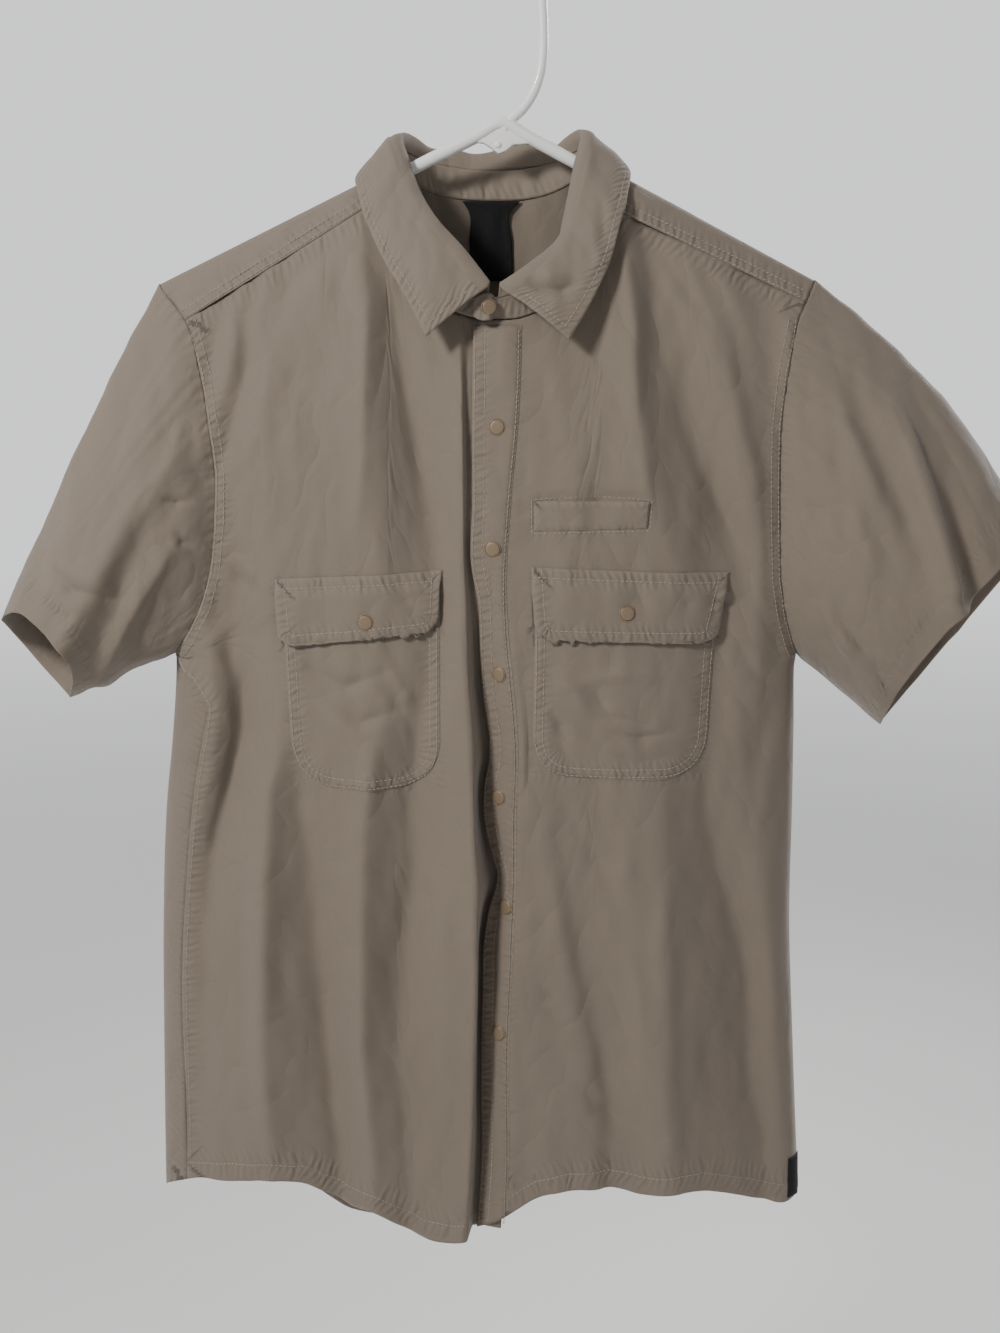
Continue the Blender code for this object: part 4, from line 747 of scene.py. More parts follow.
def stroke(rows, x, z):
    """A local fold along a short path: a ridge on one side of it and a valley on the other."""
    path = np.array(rows, float) * MM
    best = np.full(np.shape(x), np.inf)
    height = np.zeros(np.shape(x))
    for a, b in zip(path[:-1], path[1:]):
        run = b[:2] - a[:2]
        length = np.hypot(*run)
        share = ((x - a[0]) * run[0] + (z - a[1]) * run[1]) / length**2
        t = np.clip(share, 0, 1)
        away = np.hypot(x - a[0] - t * run[0], z - a[1] - t * run[1])
        side = ((x - a[0]) * -run[1] + (z - a[1]) * run[0]) / length
        width = a[3] + (b[3] - a[3]) * t
        out = a[2] + (b[2] - a[2]) * t
        q = side / width
        value = -out * 1.65 * q * np.exp(-q * q) * np.exp(-((away - abs(side)) / width) ** 2)
        nearer = away < best
        height = np.where(nearer, value, height)
        best = np.minimum(best, away)
    return height


# The garment's surfaces

def ridge_height(x):
    return RIDGE_TOP - RIDGE_FALL_LEFT * np.maximum(-x, 0) - RIDGE_FALL_RIGHT * np.maximum(x, 0)


def hang(x, z, most):
    """The depth that the cloth has reached at z, below the ridge that it hangs from."""
    drop = np.maximum(ridge_height(x) - z, 0)
    return most * np.sqrt(1 - np.exp(-2 * RIDGE_RADIUS * drop / most**2))


def roundness(x, z):
    left, right = along(SECTIONS, z)[..., :2].T
    middle, half = (left + right).T / 2, (right - left).T / 2
    q = np.clip(np.abs((x - middle) / half), 0, 1)
    return (1 - q**SECTION_POWER) ** (1 / SECTION_POWER)


def front_base(x, z):
    return -hang(x, z, along(SECTIONS, z)[..., 2]) * roundness(x, z)


def left_front_y(x, z):
    out = folded(FOLDS_LEFT_FRONT, x, z) + left_front_detail(x, z)
    return front_base(x, z) - out * side_fade(x, z)


def right_front_y(x, z):
    """The viewer's left front, which turns under at its edge and passes behind the placket."""
    out = folded(FOLDS_RIGHT_FRONT, x, z) + right_front_detail(x, z)
    own = front_base(x, z) - out * side_fade(x, z)
    under = left_front_y(x, z) + one(UNDERLAP, z)
    ridge = along(FOLDS_RIGHT_FRONT, z)[..., -2]
    foot = one(PLACKET_EDGE, z) - UNDERLAP_FOOT
    t = np.clip((x - ridge) / np.maximum(foot - ridge, MM), 0, 1)
    return own + (under - own) * eased(t)


def side_fade(x, z):
    """Folds flatten towards the side seams, where front meets back."""
    left, right = along(SECTIONS, z)[..., :2].T
    near = np.minimum((x - left.T), (right.T - x)) / (12 * MM)
    return eased(np.clip(near, 0, 1))


def back_y(x, z):
    base = hang(x, z, along(SECTIONS, z)[..., 3]) * roundness(x, z)
    return base + (folded(FOLDS_BACK, x, z) + back_detail(x, z)) * side_fade(x, z)


def points(x, y, z):
    return np.stack(np.broadcast_arrays(x, y, z), axis=-1)


def spread(line, count):
    """The line again, with points at even steps along it."""
    run = run_of(line)
    return taken(line, run, np.linspace(0, run[-1], count))


def front_edge(armhole, seam, z):
    return np.where(z > UNDERARM, one(armhole, z), one(seam, z))


def front_frame(side):
    """What one front is drawn from: its lines down the panel, its top edges, hem and depth."""
    if side == "right":
        seam_end = YOKE_SEAM_LEFT[0][1] * MM
        corner = (NECK_LEFT, -76 * MM)
        lines = [
            (lambda z: one(PLACKET_EDGE, z) + UNDERLAP_WIDE, 5),
            (lambda z: one(PLACKET_EDGE, z) - UNDERLAP_FOOT, 10),
            (lambda z: along(FOLDS_RIGHT_FRONT, z)[..., -2], 20),
            (None, 66),
            (lambda z: front_edge(ARMHOLE_FRONT_LEFT, SIDE_SEAM_LEFT, z) + SEAM_GAP, 0),
        ]
        return lines, corner, seam_end, NECK_FRONT_LEFT, YOKE_SEAM_LEFT, HEM_FRONT_LEFT, right_front_y
    seam_end = YOKE_SEAM_RIGHT[-1][1] * MM
    corner = (NECK_RIGHT, 64 * MM)
    lines = [
        (lambda z: one(PLACKET_EDGE, z) + 0.5 * MM, 13),
        (lambda z: one(PLACKET_STITCH, z) + 2 * MM, 20),
        (None, 66),
        (lambda z: left_front_edge(z) - 0.1 * MM, 0),
    ]
    return lines, corner, seam_end, NECK_FRONT_RIGHT, YOKE_SEAM_RIGHT, HEM_FRONT_RIGHT, left_front_y


def left_front_edge(z):
    return np.where(z > UNDERARM, one(ARMHOLE_FRONT_RIGHT, z), along(SECTIONS, z)[..., 1])


def row_shares(top, low, count):
    """Even shares down a panel, with one row exactly at the underarm."""
    above = (top - UNDERARM) / (top - low)
    first = round(count * above)
    return np.concatenate([
        np.linspace(0, above, first),
        np.linspace(above, 1, count - first + 1)[1:],
    ])


def front_grid(side):
    """Rows of points from the centre of one front to its armhole and side seam."""
    lines, corner, seam_end, neck, yoke, hem, depth = front_frame(side)
    top_at, low_at = np.array(FRONT_TOP), np.array(FRONT_LOW)

    def place_on(index, z, level):
        line = lines[index][0]
        if line is None:
            return np.full_like(z, corner[0]) + (corner[1] - corner[0]) * level
        return line(np.minimum(z, top_at if index < len(lines) - 1 else seam_end))

    hem_edge = float(one(hem, place_on(len(lines) - 1, low_at, 1)))
    rows = []
    for t in row_shares(seam_end - SEAM_GAP, hem_edge, FRONT_ROWS):
        row = []
        for index, (_, count) in enumerate(lines[:-1]):
            q = np.linspace(0, 1, FINE)
            top = [place_on(k, np.full(FINE, top_at if k < len(lines) - 1 else seam_end), 0)
                   for k in (index, index + 1)]
            low = [place_on(k, np.full(FINE, low_at), 1) for k in (index, index + 1)]
            top_x = top[0] + (top[1] - top[0]) * q
            low_x = low[0] + (low[1] - low[0]) * q
            edge_table = yoke if index == len(lines) - 2 else neck
            top_z = one(edge_table, top_x) - SEAM_GAP
            z = top_z + (one(hem, low_x) - top_z) * t
            x = place_on(index, z, t)
            x = x + (place_on(index + 1, z, t) - x) * q
            line = points(x, depth(x, z), z)
            if index == len(lines) - 2 and line[-1, 2] <= UNDERARM + 0.1 * MM:
                line[:, 1] = np.minimum(line[:, 1], -SEAM_GAP)
            part = spread(line, count + 1)
            row.extend(part if not row else part[1:])
        rows.append(row)
    grid = np.array(rows)
    return grid if side == "right" else grid[:, ::-1]


def back_grid():
    """Rows of points from the right side, round the back and round to the left side seam."""
    rows = []
    top = YOKE_BACK - SEAM_GAP
    share = np.linspace(0, 1, 2 * FINE)
    low = one(HEM_BACK, BACK_FOOT_RIGHT + (BACK_FOOT_LEFT - BACK_FOOT_RIGHT) * share)
    for t in row_shares(top, BACK_FOOT, BACK_ROWS):
        z = top + (low - top) * t
        right = np.where(z > UNDERARM, one(ARMHOLE_BACK_RIGHT, z), along(SECTIONS, z)[..., 1])
        left = np.where(z > UNDERARM, one(ARMHOLE_BACK_LEFT, z), along(SECTIONS, z)[..., 0])
        x = right + (left - right) * share
        line = points(x, np.maximum(back_y(x, z), SEAM_GAP), z)
        if z[-1] < UNDERARM - MM:
            end = line[-1]
            hem_rise = one(HEM_FRONT_LEFT, np.array(SIDE_FOOT_LEFT)) - BACK_FOOT
            turn_z = end[2] + hem_rise * t * share
            seam_x = one(SIDE_SEAM_LEFT, turn_z) - SEAM_GAP
            turn_x = left[-1] + (seam_x - left[-1]) * share**2
            turn = points(turn_x, front_base(turn_x, turn_z), turn_z)
            line = np.concatenate([line, turn[1:]])
        rows.append(spread(line, BACK_COLUMNS))
    return np.array(rows)


def sleeve_ring(side, front, back, yoke):
    """The sleeve's end at the armhole, on the panels' own points: down the front, up the back."""
    edge = 0 if side == "left" else -1
    middle = len(yoke) // 2
    down = [*yoke[middle:, -1], *[p for p in front[1:, edge] if p[2] > UNDERARM + MM]]
    low = np.array((UNDERARM_AT[side], 0, UNDERARM))
    up = [p for p in back[1:, edge] if p[2] > UNDERARM + MM][::-1]
    return np.array([*down, low, *up, *yoke[:middle, -1]])


def cuff_ring(cuff, angle):
    centre, across, deep = (np.array(cuff[k]) * MM for k in ("centre", "across", "deep"))
    c, s = np.cos(angle), np.sin(angle)
    c = np.sign(c) * np.abs(c) ** CUFF_SQUARENESS
    s = np.sign(s) * np.abs(s) ** CUFF_SQUARENESS
    return centre - across * c[:, None] - deep * s[:, None]


def sleeve_grid(side, front, back, yoke):
    cuff, folds = (CUFF_RIGHT, SLEEVE_FOLDS_RIGHT) if side == "right" else (CUFF_LEFT, SLEEVE_FOLDS_LEFT)
    first = sleeve_ring(side, front, back, yoke)
    closed = np.concatenate([first, first[:1]])
    run = run_of(closed)
    angle = 2 * math.pi * run[:-1] / run[-1]
    last = cuff_ring(cuff, angle)
    way = last - first
    low = np.clip((UNDERARM_ZONE - first[:, 2]) / (UNDERARM_ZONE - UNDERARM), 0, 1)
    gap = SLEEVE_GAP + UNDERARM_GAP * low
    first = first + (gap / np.linalg.norm(way, axis=1))[:, None] * way
    first[:, 0] += np.sign(last[0, 0] - first[0, 0]) * gap
    rows = []
    for t in np.linspace(0, 1, SLEEVE_ROWS):
        ring = first + (last - first) * t
        ring[:, 1] -= SLEEVE_SWELL * math.sin(math.pi * t) * np.sin(angle)
        upper = np.maximum(np.cos(angle), 0)[:, None] ** 2
        ring += upper * math.sin(math.pi * t) * np.array(SLEEVE_BOW[side]) * MM
        fade = min(t / 0.12, 1)
        for fold in folds:
            out = stroke(fold, ring[:, 0], ring[:, 2]) * fade
            ring[:, 1] -= out * np.sin(angle)
        rows.append(ring)
    return np.array(rows)


def neckline():
    """The neck's edge in three runs: left front, back and right front, meeting on the ridges."""
    x = np.linspace(-12 * MM, NECK_LEFT, FINE)
    z = one(NECK_FRONT_LEFT, x)
    left = points(x, front_base(x, z), z)
    turn = np.linspace(one(NECK_FRONT_LEFT, NECK_LEFT), ridge_height(NECK_LEFT), FINE)
    left = np.concatenate([left, points(NECK_LEFT, -hang(NECK_LEFT, turn, NECK_DEPTH_FRONT), turn)[1:]])
    x = NECK_LEFT + (NECK_RIGHT - NECK_LEFT) * np.linspace(0, 1, 2 * FINE)
    z = neck_back_height(x)
    back = points(x, hang(x, z, NECK_DEPTH_BACK) * roundness(x, z), z)
    turn = np.linspace(ridge_height(NECK_RIGHT), one(NECK_FRONT_RIGHT, NECK_RIGHT), FINE)
    right = points(NECK_RIGHT, -hang(NECK_RIGHT, turn, NECK_DEPTH_FRONT), turn)
    x = np.linspace(NECK_RIGHT, -6 * MM, FINE)
    z = one(NECK_FRONT_RIGHT, x)
    return left, back, np.concatenate([right, points(x, front_base(x, z), z)[1:]])


def neck_back_height(x):
    middle, half = (NECK_LEFT + NECK_RIGHT) / 2, (NECK_RIGHT - NECK_LEFT) / 2
    q = np.abs((x - middle) / half) ** NECK_BACK_POWER
    return NECK_BACK + (ridge_height(x) - NECK_BACK) * q


def yoke_faces():
    """The yoke's three grids: over each shoulder, and below the neck at the back."""
    grids = []
    over = np.linspace(-1, 1, YOKE_ROWS)
    for side in ("right", "left"):
        if side == "right":
            neck, seam, end = NECK_LEFT, YOKE_SEAM_LEFT, ARMHOLE_FRONT_LEFT
            back_end = ARMHOLE_BACK_LEFT
        else:
            neck, seam, end = NECK_RIGHT, YOKE_SEAM_RIGHT, ARMHOLE_FRONT_RIGHT
            back_end = ARMHOLE_BACK_RIGHT
        rows = []
        for v in over:
            share = np.linspace(0, 1, FINE)
            x = neck + (SHOULDER_TIP[side] - neck) * share
            for _ in range(6):
                low = one(seam, x) + SEAM_GAP if v > 0 else np.full_like(x, YOKE_BACK)
                z = ridge_height(x) + (low - ridge_height(x)) * abs(v) ** (2 if v > 0 else YOKE_STEPS)
                edge = one(end if v > 0 else back_end, z)
                x = neck + (edge - neck) * share
            y = front_base(x, z) if v > 0 else back_y(x, z)
            y = np.where(v == 0, 0.0, y)
            rows.append(spread(points(x, y, z), YOKE_COLUMNS))
        grids.append(np.array(rows))
    rows = []
    x = spread(neckline()[1], YOKE_NECK)[:, 0]
    x[0], x[-1] = NECK_LEFT, NECK_RIGHT
    for v in over[over <= 0]:
        top = neck_back_height(x)
        z = top + (YOKE_BACK - top) * abs(v) ** YOKE_STEPS
        y = back_y(x, z)
        y = np.where((v == 0) & ((x == x[0]) | (x == x[-1])), 0.0, y)
        rows.append(points(x, y, z))
    grids.append(np.array(rows))
    return grids


def rounded_outline(corners):
    """Corners across and height with radii, as a loop of points."""
    loop = []
    count = len(corners)
    for i, (x, z, radius) in enumerate(corners):
        here = Vector((x, z)) * MM
        before = (Vector(corners[i - 1][:2]) * MM - here).normalized()
        after = (Vector(corners[(i + 1) % count][:2]) * MM - here).normalized()
        steps = 12 if radius > 5 else min(3, math.ceil(radius))
        for k in range(steps + 1):
            t = k / max(steps, 1)
            a = here + before * radius * MM
            b = here + after * radius * MM
            loop.append(a * (1 - t) ** 2 + here * 2 * t * (1 - t) + b * t * t)
    return loop


def collar_lines():
    """Points of the foot, fold and outer edge at the same shares round the neck."""
    left, back, right = neckline()
    foot = np.concatenate([
        spread(left, COLLAR_SIDE + 1)[:-1],
        spread(back, COLLAR_BACK + 1)[:-1],
        spread(right, COLLAR_SIDE + 1),
    ])
    share = np.concatenate([
        np.linspace(0, SIDE_SHARE, COLLAR_SIDE + 1)[:-1],
        np.linspace(SIDE_SHARE, 1 - SIDE_SHARE, COLLAR_BACK + 1)[:-1],
        np.linspace(1 - SIDE_SHARE, 1, COLLAR_SIDE + 1),
    ])
    table = [(row[0] / MM, *row[1:]) for row in COLLAR]
    values = along(table, share)
    fold, edge = values[:, :3], values[:, 3:]
    rise = fold - foot
    foot = foot + rise * (STAND_RAISE / np.linalg.norm(rise, axis=1))[:, None]
    return foot, fold, edge


def stand_grid():
    foot, fold, _ = collar_lines()
    top = foot + (fold - foot) * STAND_SHARE
    end_foot = [(x * MM, y * MM, low * MM) for x, y, low, _ in STAND_END]
    end_top = [(x * MM, y * MM, high * MM) for x, y, _, high in STAND_END]
    foot = np.concatenate([foot, end_foot])
    top = np.concatenate([top, end_top])
    middle = (foot + top) / 2
    return np.array([top, middle, foot])


def collar_grid():
    foot, fold, edge = collar_lines()
    base = foot + (fold - foot) * (STAND_SHARE + STAND_STEP)
    rise = fold - base
    fall = edge - fold
    up = rise / np.linalg.norm(rise, axis=1)[:, None]
    outward = np.cross(np.gradient(fold, axis=0), fall)
    outward /= np.linalg.norm(outward, axis=1)[:, None]
    from_neck = fold - np.array([(NECK_LEFT + NECK_RIGHT) / 2, 0, 0])
    facing = np.sign((outward[:, :2] * from_neck[:, :2]).sum(axis=1))
    outward *= facing[:, None]
    shoulder = fold + outward * COLLAR_TURN - up * COLLAR_TURN * 0.4
    rows = [
        base,
        fold - up * COLLAR_TURN * 0.5,
        fold + outward * COLLAR_TURN * 0.45 + up * COLLAR_TURN * 0.15,
        shoulder,
    ]
    for share in (0.35, 0.65, 1.0):
        crown = outward * COLLAR_CROWN * math.sin(math.pi * share)
        rows.append(shoulder + (edge - shoulder) * share + crown)
    return np.array(rows)


def neck_label_grid():
    rows = []
    for z, left, right in NECK_LABEL:
        x = np.linspace(left, right, 33) * MM
        z = np.full(33, z * MM)
        rows.append(points(x, back_y(x, z) - NECK_LABEL_LIFT, z))
    return np.array(rows)


def arm_height(x):
    fall = RIDGE_FALL_LEFT if x < 0 else RIDGE_FALL_RIGHT
    below = (WALL + TUBE_SEAT + TUBE_RADIUS) * math.sqrt(1 + fall * fall)
    return float(ridge_height(np.array(x))) - below


def frame_line():
    """The hanger's triangle: up one arm, down the other, round the ends and back along the bar."""
    line = []
    for x in np.linspace(ARM_END_LEFT, 0, 12):
        line.append((x, 0, arm_height(x)))
    for x in np.linspace(0, ARM_END_RIGHT, 12)[1:]:
        line.append((x, 0, arm_height(x)))
    for end, fall, out in [(ARM_END_RIGHT, RIDGE_FALL_RIGHT, 1), (ARM_END_LEFT, RIDGE_FALL_LEFT, -1)]:
        slope = math.atan(fall)
        z = arm_height(end)
        centre = (end - out * END_TURN * math.sin(slope), z - END_TURN * math.cos(slope))
        arc = []
        for k in range(1, 8):
            a = math.pi / 2 - slope - (math.pi - slope) * k / 7
            arc.append((centre[0] + out * END_TURN * math.cos(a), 0, centre[1] + END_TURN * math.sin(a)))
        if out > 0:
            line.extend(arc)
            last = arc[-1]
        else:
            first = arc[-1]
            for k in range(1, 9):
                t = k / 9
                line.append((last[0] + (first[0] - last[0]) * t, 0, last[2] + (first[2] - last[2]) * t))
            line.extend(arc[::-1])
    return line


def hook_line():
    """The stem from the apex to the right, then the round of the hook over the top."""
    line = [(x * MM, 0, z * MM) for x, z in HOOK_STEM]
    centre_z = HOOK_TOP + HOOK_TUBE - HOOK_RADIUS
    for angle in np.linspace(0, math.radians(HOOK_ROUND), 16):
        line.append((HOOK_RADIUS * math.cos(angle), 0, centre_z + HOOK_RADIUS * math.sin(angle)))
    return line


# Materials

def nodes_of(name):
    made = bpy.data.materials.new(name)
    made.use_nodes = True
    tree = made.node_tree
    return made, tree, tree.nodes["Principled BSDF"]


def add(tree, kind, values=None, **settings):
    node = tree.nodes.new(kind)
    for key, value in settings.items():
        setattr(node, key, value)
    for key, value in (values or {}).items():
        node.inputs[key].default_value = value
    return node


def math_node(tree, operation, first, second):
    node = add(tree, "ShaderNodeMath", operation=operation)
    for index, value in enumerate((first, second)):
        if isinstance(value, (int, float)):
            node.inputs[index].default_value = value
        else:
            tree.links.new(value, node.inputs[index])
    return node.outputs[0]


def mixed(tree, factor, first, second):
    node = add(tree, "ShaderNodeMix", data_type="RGBA")
    tree.links.new(factor, node.inputs["Factor"])
    for socket, value in ((node.inputs[6], first), (node.inputs[7], second)):
        if isinstance(value, tuple):
            socket.default_value = (*value, 1)
        else:
            tree.links.new(value, socket)
    return node.outputs[2]


def noise(tree, place, scale, detail=2.0, stretch=(1, 1, 1)):
    mapping = add(tree, "ShaderNodeMapping", {"Scale": stretch})
    tree.links.new(place, mapping.inputs["Vector"])
    node = add(tree, "ShaderNodeTexNoise", {"Scale": scale, "Detail": detail})
    tree.links.new(mapping.outputs[0], node.inputs["Vector"])
    return node.outputs[0]


def weave(tree, place, pitch):
    """The height of a plain weave, from two crossed waves."""
    waves = []
    for direction in ("X", "Y"):
        wave = add(tree, "ShaderNodeTexWave", {"Scale": 2 * math.pi / (20 * pitch), "Distortion": 0.0},
                   wave_type="BANDS", bands_direction=direction, wave_profile="SIN")
        tree.links.new(place, wave.inputs["Vector"])
        waves.append(math_node(tree, "SUBTRACT", wave.outputs["Fac"], 0.5))
    product = math_node(tree, "MULTIPLY", waves[0], waves[1])
    return math_node(tree, "MULTIPLY_ADD", product, 2.0)


def cloth_material(name, dark, light, pitch, roughness, sheen):
    """Woven cloth: weave and slubs, slow changes of colour, and paler worn seams."""
    made, tree, shader = nodes_of(name)
    place = add(tree, "ShaderNodeTexCoord").outputs["UV"]
    height = weave(tree, place, pitch)
    across = noise(tree, place, 1.0, 2.0, (1400, 60, 1))
    down = noise(tree, place, 1.0, 2.0, (60, 1400, 1))
    slub = math_node(tree, "MULTIPLY_ADD", math_node(tree, "ADD", across, down), 0.5)
    slow = noise(tree, place, 9.0, 4.0)
    patch_noise = noise(tree, place, 70.0, 3.0)
    tone = math_node(tree, "ADD", math_node(tree, "MULTIPLY", slub, 0.42),
                     math_node(tree, "MULTIPLY", slow, 0.34))
    tone = math_node(tree, "ADD", tone, math_node(tree, "MULTIPLY", patch_noise, 0.16))
    tone = math_node(tree, "ADD", tone, math_node(tree, "MULTIPLY", height, 0.10))
    colour = mixed(tree, tone, dark, light)
    worn = add(tree, "ShaderNodeAttribute", attribute_name="worn").outputs["Fac"]
    worn = math_node(tree, "MULTIPLY", worn, 0.30)
    pale = tuple(min(c * 1.22, 1) for c in light)
    tree.links.new(mixed(tree, worn, colour, pale), shader.inputs["Base Color"])
    rough = math_node(tree, "MULTIPLY_ADD", patch_noise, 0.10)
    rough.node.inputs[2].default_value = roughness - 0.05
    tree.links.new(rough, shader.inputs["Roughness"])
    shader.inputs["Sheen Weight"].default_value = sheen
    shader.inputs["Sheen Roughness"].default_value = 0.45
    shader.inputs["Specular IOR Level"].default_value = 0.32
    relief = math_node(tree, "ADD", height, math_node(tree, "MULTIPLY", slub, 0.7))
    fine = bump(tree, relief, 0.38, 0.2 * MM, None)
    crumple = bump(tree, ridged(tree, place, 22.0), 0.55, 1.9 * MM, fine)
    small = bump(tree, noise(tree, place, 75.0, 3.0), 0.42, 1.2 * MM, crumple)
    tree.links.new(bump(tree, seam_rungs(tree, place), 0.9, 0.9 * MM, small), shader.inputs["Normal"])
    return made


def bump(tree, height, strength, distance, before):
    node = add(tree, "ShaderNodeBump", {"Strength": strength, "Distance": distance})
    tree.links.new(height, node.inputs["Height"])
    if before is not None:
        tree.links.new(before, node.inputs["Normal"])
    return node.outputs[0]


def ridged(tree, place, scale):
    """Crumpled cloth: soft noise folded over into creases."""
    node = add(tree, "ShaderNodeTexNoise", {"Scale": scale, "Detail": 1.5, "Distortion": 0.25})
    mapping = add(tree, "ShaderNodeMapping", {"Scale": (1.15, 0.85, 1)})
    tree.links.new(place, mapping.inputs["Vector"])
    tree.links.new(mapping.outputs[0], node.inputs["Vector"])
    off = math_node(tree, "ABSOLUTE", math_node(tree, "SUBTRACT", node.outputs[0], 0.5), 0)
    return math_node(tree, "POWER", math_node(tree, "MULTIPLY", off, 3.2), 0.8)


def bell(tree, value, centre, width):
    """One at the centre, falling softly to nothing on both sides."""
    off = math_node(tree, "DIVIDE", math_node(tree, "SUBTRACT", value, centre), width)
    square = math_node(tree, "MULTIPLY", off, off)
    return math_node(tree, "EXPONENT", math_node(tree, "MULTIPLY", square, -1), 0)


def seam_rungs(tree, place):
    """Short ridges across a seam's band, uneven along it."""
    away = add(tree, "ShaderNodeAttribute", attribute_name="seam_away").outputs["Fac"]
    run = add(tree, "ShaderNodeAttribute", attribute_name="seam_run").outputs["Fac"]
    shift = math_node(tree, "MULTIPLY", noise(tree, place, 60.0, 2.0), 9.0)
    slant = math_node(tree, "MULTIPLY", away, 0.28)
    waves = []
    for length, share in RUNGS:
        turn = math_node(tree, "MULTIPLY", math_node(tree, "ADD", run, slant), 2 * math.pi / length)
        wave = math_node(tree, "SINE", math_node(tree, "ADD", turn, shift), 0)
        waves.append(math_node(tree, "MULTIPLY", wave, share))
    wave = math_node(tree, "ADD", waves[0], waves[1])
    band = math_node(tree, "ADD", bell(tree, away, 3.6, 3.4),
                     math_node(tree, "MULTIPLY", bell(tree, away, 9.0, 4.0), 0.55))
    swell = math_node(tree, "ADD", noise(tree, place, 25.0, 2.0), 0.25)
    return math_node(tree, "MULTIPLY", math_node(tree, "MULTIPLY", wave, band), swell)


def hard_material(name, dark, light, scale, roughness, metallic=0.0, grain=0.12, coat=0.0):
    """Moulded or coated material: slight changes of colour and gloss, and a fine grain."""
    made, tree, shader = nodes_of(name)
    place = add(tree, "ShaderNodeTexCoord").outputs["Object"]
    slow = noise(tree, place, scale, 4.0)
    fine = noise(tree, place, scale * 14, 3.0)
    tone = math_node(tree, "ADD", math_node(tree, "MULTIPLY", slow, 0.7),
                     math_node(tree, "MULTIPLY", fine, 0.3))
    tree.links.new(mixed(tree, tone, dark, light), shader.inputs["Base Color"])
    rough = math_node(tree, "MULTIPLY_ADD", fine, 0.14)
    rough.node.inputs[2].default_value = roughness - 0.07
    tree.links.new(rough, shader.inputs["Roughness"])
    shader.inputs["Metallic"].default_value = metallic
    shader.inputs["Coat Weight"].default_value = coat
    tree.links.new(bump(tree, fine, grain, 0.2 * MM, None), shader.inputs["Normal"])
    return made


# Meshes from grids

def mesh_of(name, grids, flips, loops=(), fields=None):
    """One mesh from grids of points, with its cloth's own measure as UV."""
    verts, faces, places = [], [], []
    first = 0
    for index, grid in enumerate(grids):
        rows, columns = grid.shape[:2]
        closed = index in loops
        ring = np.concatenate([grid, grid[:, :1]], axis=1) if closed else grid
        u = np.concatenate([[0], np.cumsum(np.linalg.norm(np.diff(ring, axis=1), axis=2).mean(axis=0))])
        v = np.concatenate([[0], np.cumsum(np.linalg.norm(np.diff(grid, axis=0), axis=2).mean(axis=1))])
        verts.append(grid.reshape(-1, 3))
        i, j = np.meshgrid(np.arange(rows - 1), np.arange(len(u) - 1), indexing="ij")
        i, j = i.ravel(), j.ravel()
        k = (j + 1) % columns
        quad = np.stack([i * columns + j, i * columns + k, (i + 1) * columns + k, (i + 1) * columns + j], 1)
        place_uv = np.stack([
            np.stack([u[j], -v[i]], 1), np.stack([u[j + 1], -v[i]], 1),
            np.stack([u[j + 1], -v[i + 1]], 1), np.stack([u[j], -v[i + 1]], 1),
        ], 1)
        if flips[index]:
            quad, place_uv = quad[:, ::-1], place_uv[:, ::-1]
        faces.append(quad + first)
        places.append(place_uv.reshape(-1, 2) + index * 0.37)
        first += rows * columns
    data = bpy.data.meshes.new(name)
    data.from_pydata(np.concatenate(verts).tolist(), [], np.concatenate(faces).tolist())
    layer = data.uv_layers.new(name="cloth")
    layer.data.foreach_set("uv", np.concatenate(places).ravel())
    fields = dict(fields or {})
    fields.setdefault("seam_away", [np.full(grid.shape[:2], FAR) for grid in grids])
    for field, values in fields.items():
        attribute = data.attributes.new(field, "FLOAT", "POINT")
        attribute.data.foreach_set("value", np.concatenate([np.asarray(v, float).ravel() for v in values]))
    if len(grids) > 1:
        mesh = bmesh.new()
        mesh.from_mesh(data)
        bmesh.ops.remove_doubles(mesh, verts=mesh.verts, dist=0.02 * MM)
        mesh.to_mesh(data)
        mesh.free()
    data.shade_smooth()
    return data


def piece(name, data, finish, slot, stands_for=()):
    thing = bpy.data.objects.new(name, data)
    bpy.context.scene.collection.objects.link(thing)
    data.materials.append(finish)
    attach(thing, "root")
    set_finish(thing, slot)
    if stands_for:
        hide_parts(*stands_for)
    return thing


def sewn(name, node, grids, flips, finish, wall, fields=None, loops=(), offset=-1):
    """A thin piece of cloth or tape that stands for a node of the part."""
    slot = "label_tape" if name.endswith("_tape") else "cloth"
    thing = piece(name, mesh_of(name, grids, flips, loops, fields), finish, slot, (node,))
    solid = thing.modifiers.new("wall", "SOLIDIFY")
    solid.thickness = wall
    solid.offset = offset
    return thing


def mesh_from(mesh, name):
    """A bmesh as finished mesh data, with its faces turned outward."""
    bmesh.ops.recalc_face_normals(mesh, faces=mesh.faces)
    data = bpy.data.meshes.new(name)
    mesh.to_mesh(data)
    mesh.free()
    data.shade_smooth()
    return data


def set_on(normal, place):
    """The turn and move that stands a form on a face at a place."""
    turn = normal.to_track_quat("Z", "Y").to_matrix().to_4x4()
    turn.translation = place
    return turn


def front_hit(tree, x, z):
    """Where a ray from the front meets the faces of a tree, with the normal there, or nothing."""
    hit, normal = tree.ray_cast(Vector((x, RAY_START, z)), Vector((0, 1, 0)))[:2]
    if hit is None:
        return []
    return [(hit, normal if normal.y < 0 else -normal)]


def normals_of(grid, toward):
    """Unit normals of a grid, on the side that toward points to."""
    across, down = np.gradient(grid, axis=1), np.gradient(grid, axis=0)
    normal = np.cross(across, down)
    normal /= np.maximum(np.linalg.norm(normal, axis=2), 1e-12)[..., None]
    side = np.sign((normal * toward).sum(axis=2))
    side[side == 0] = 1
    return normal * side[..., None]


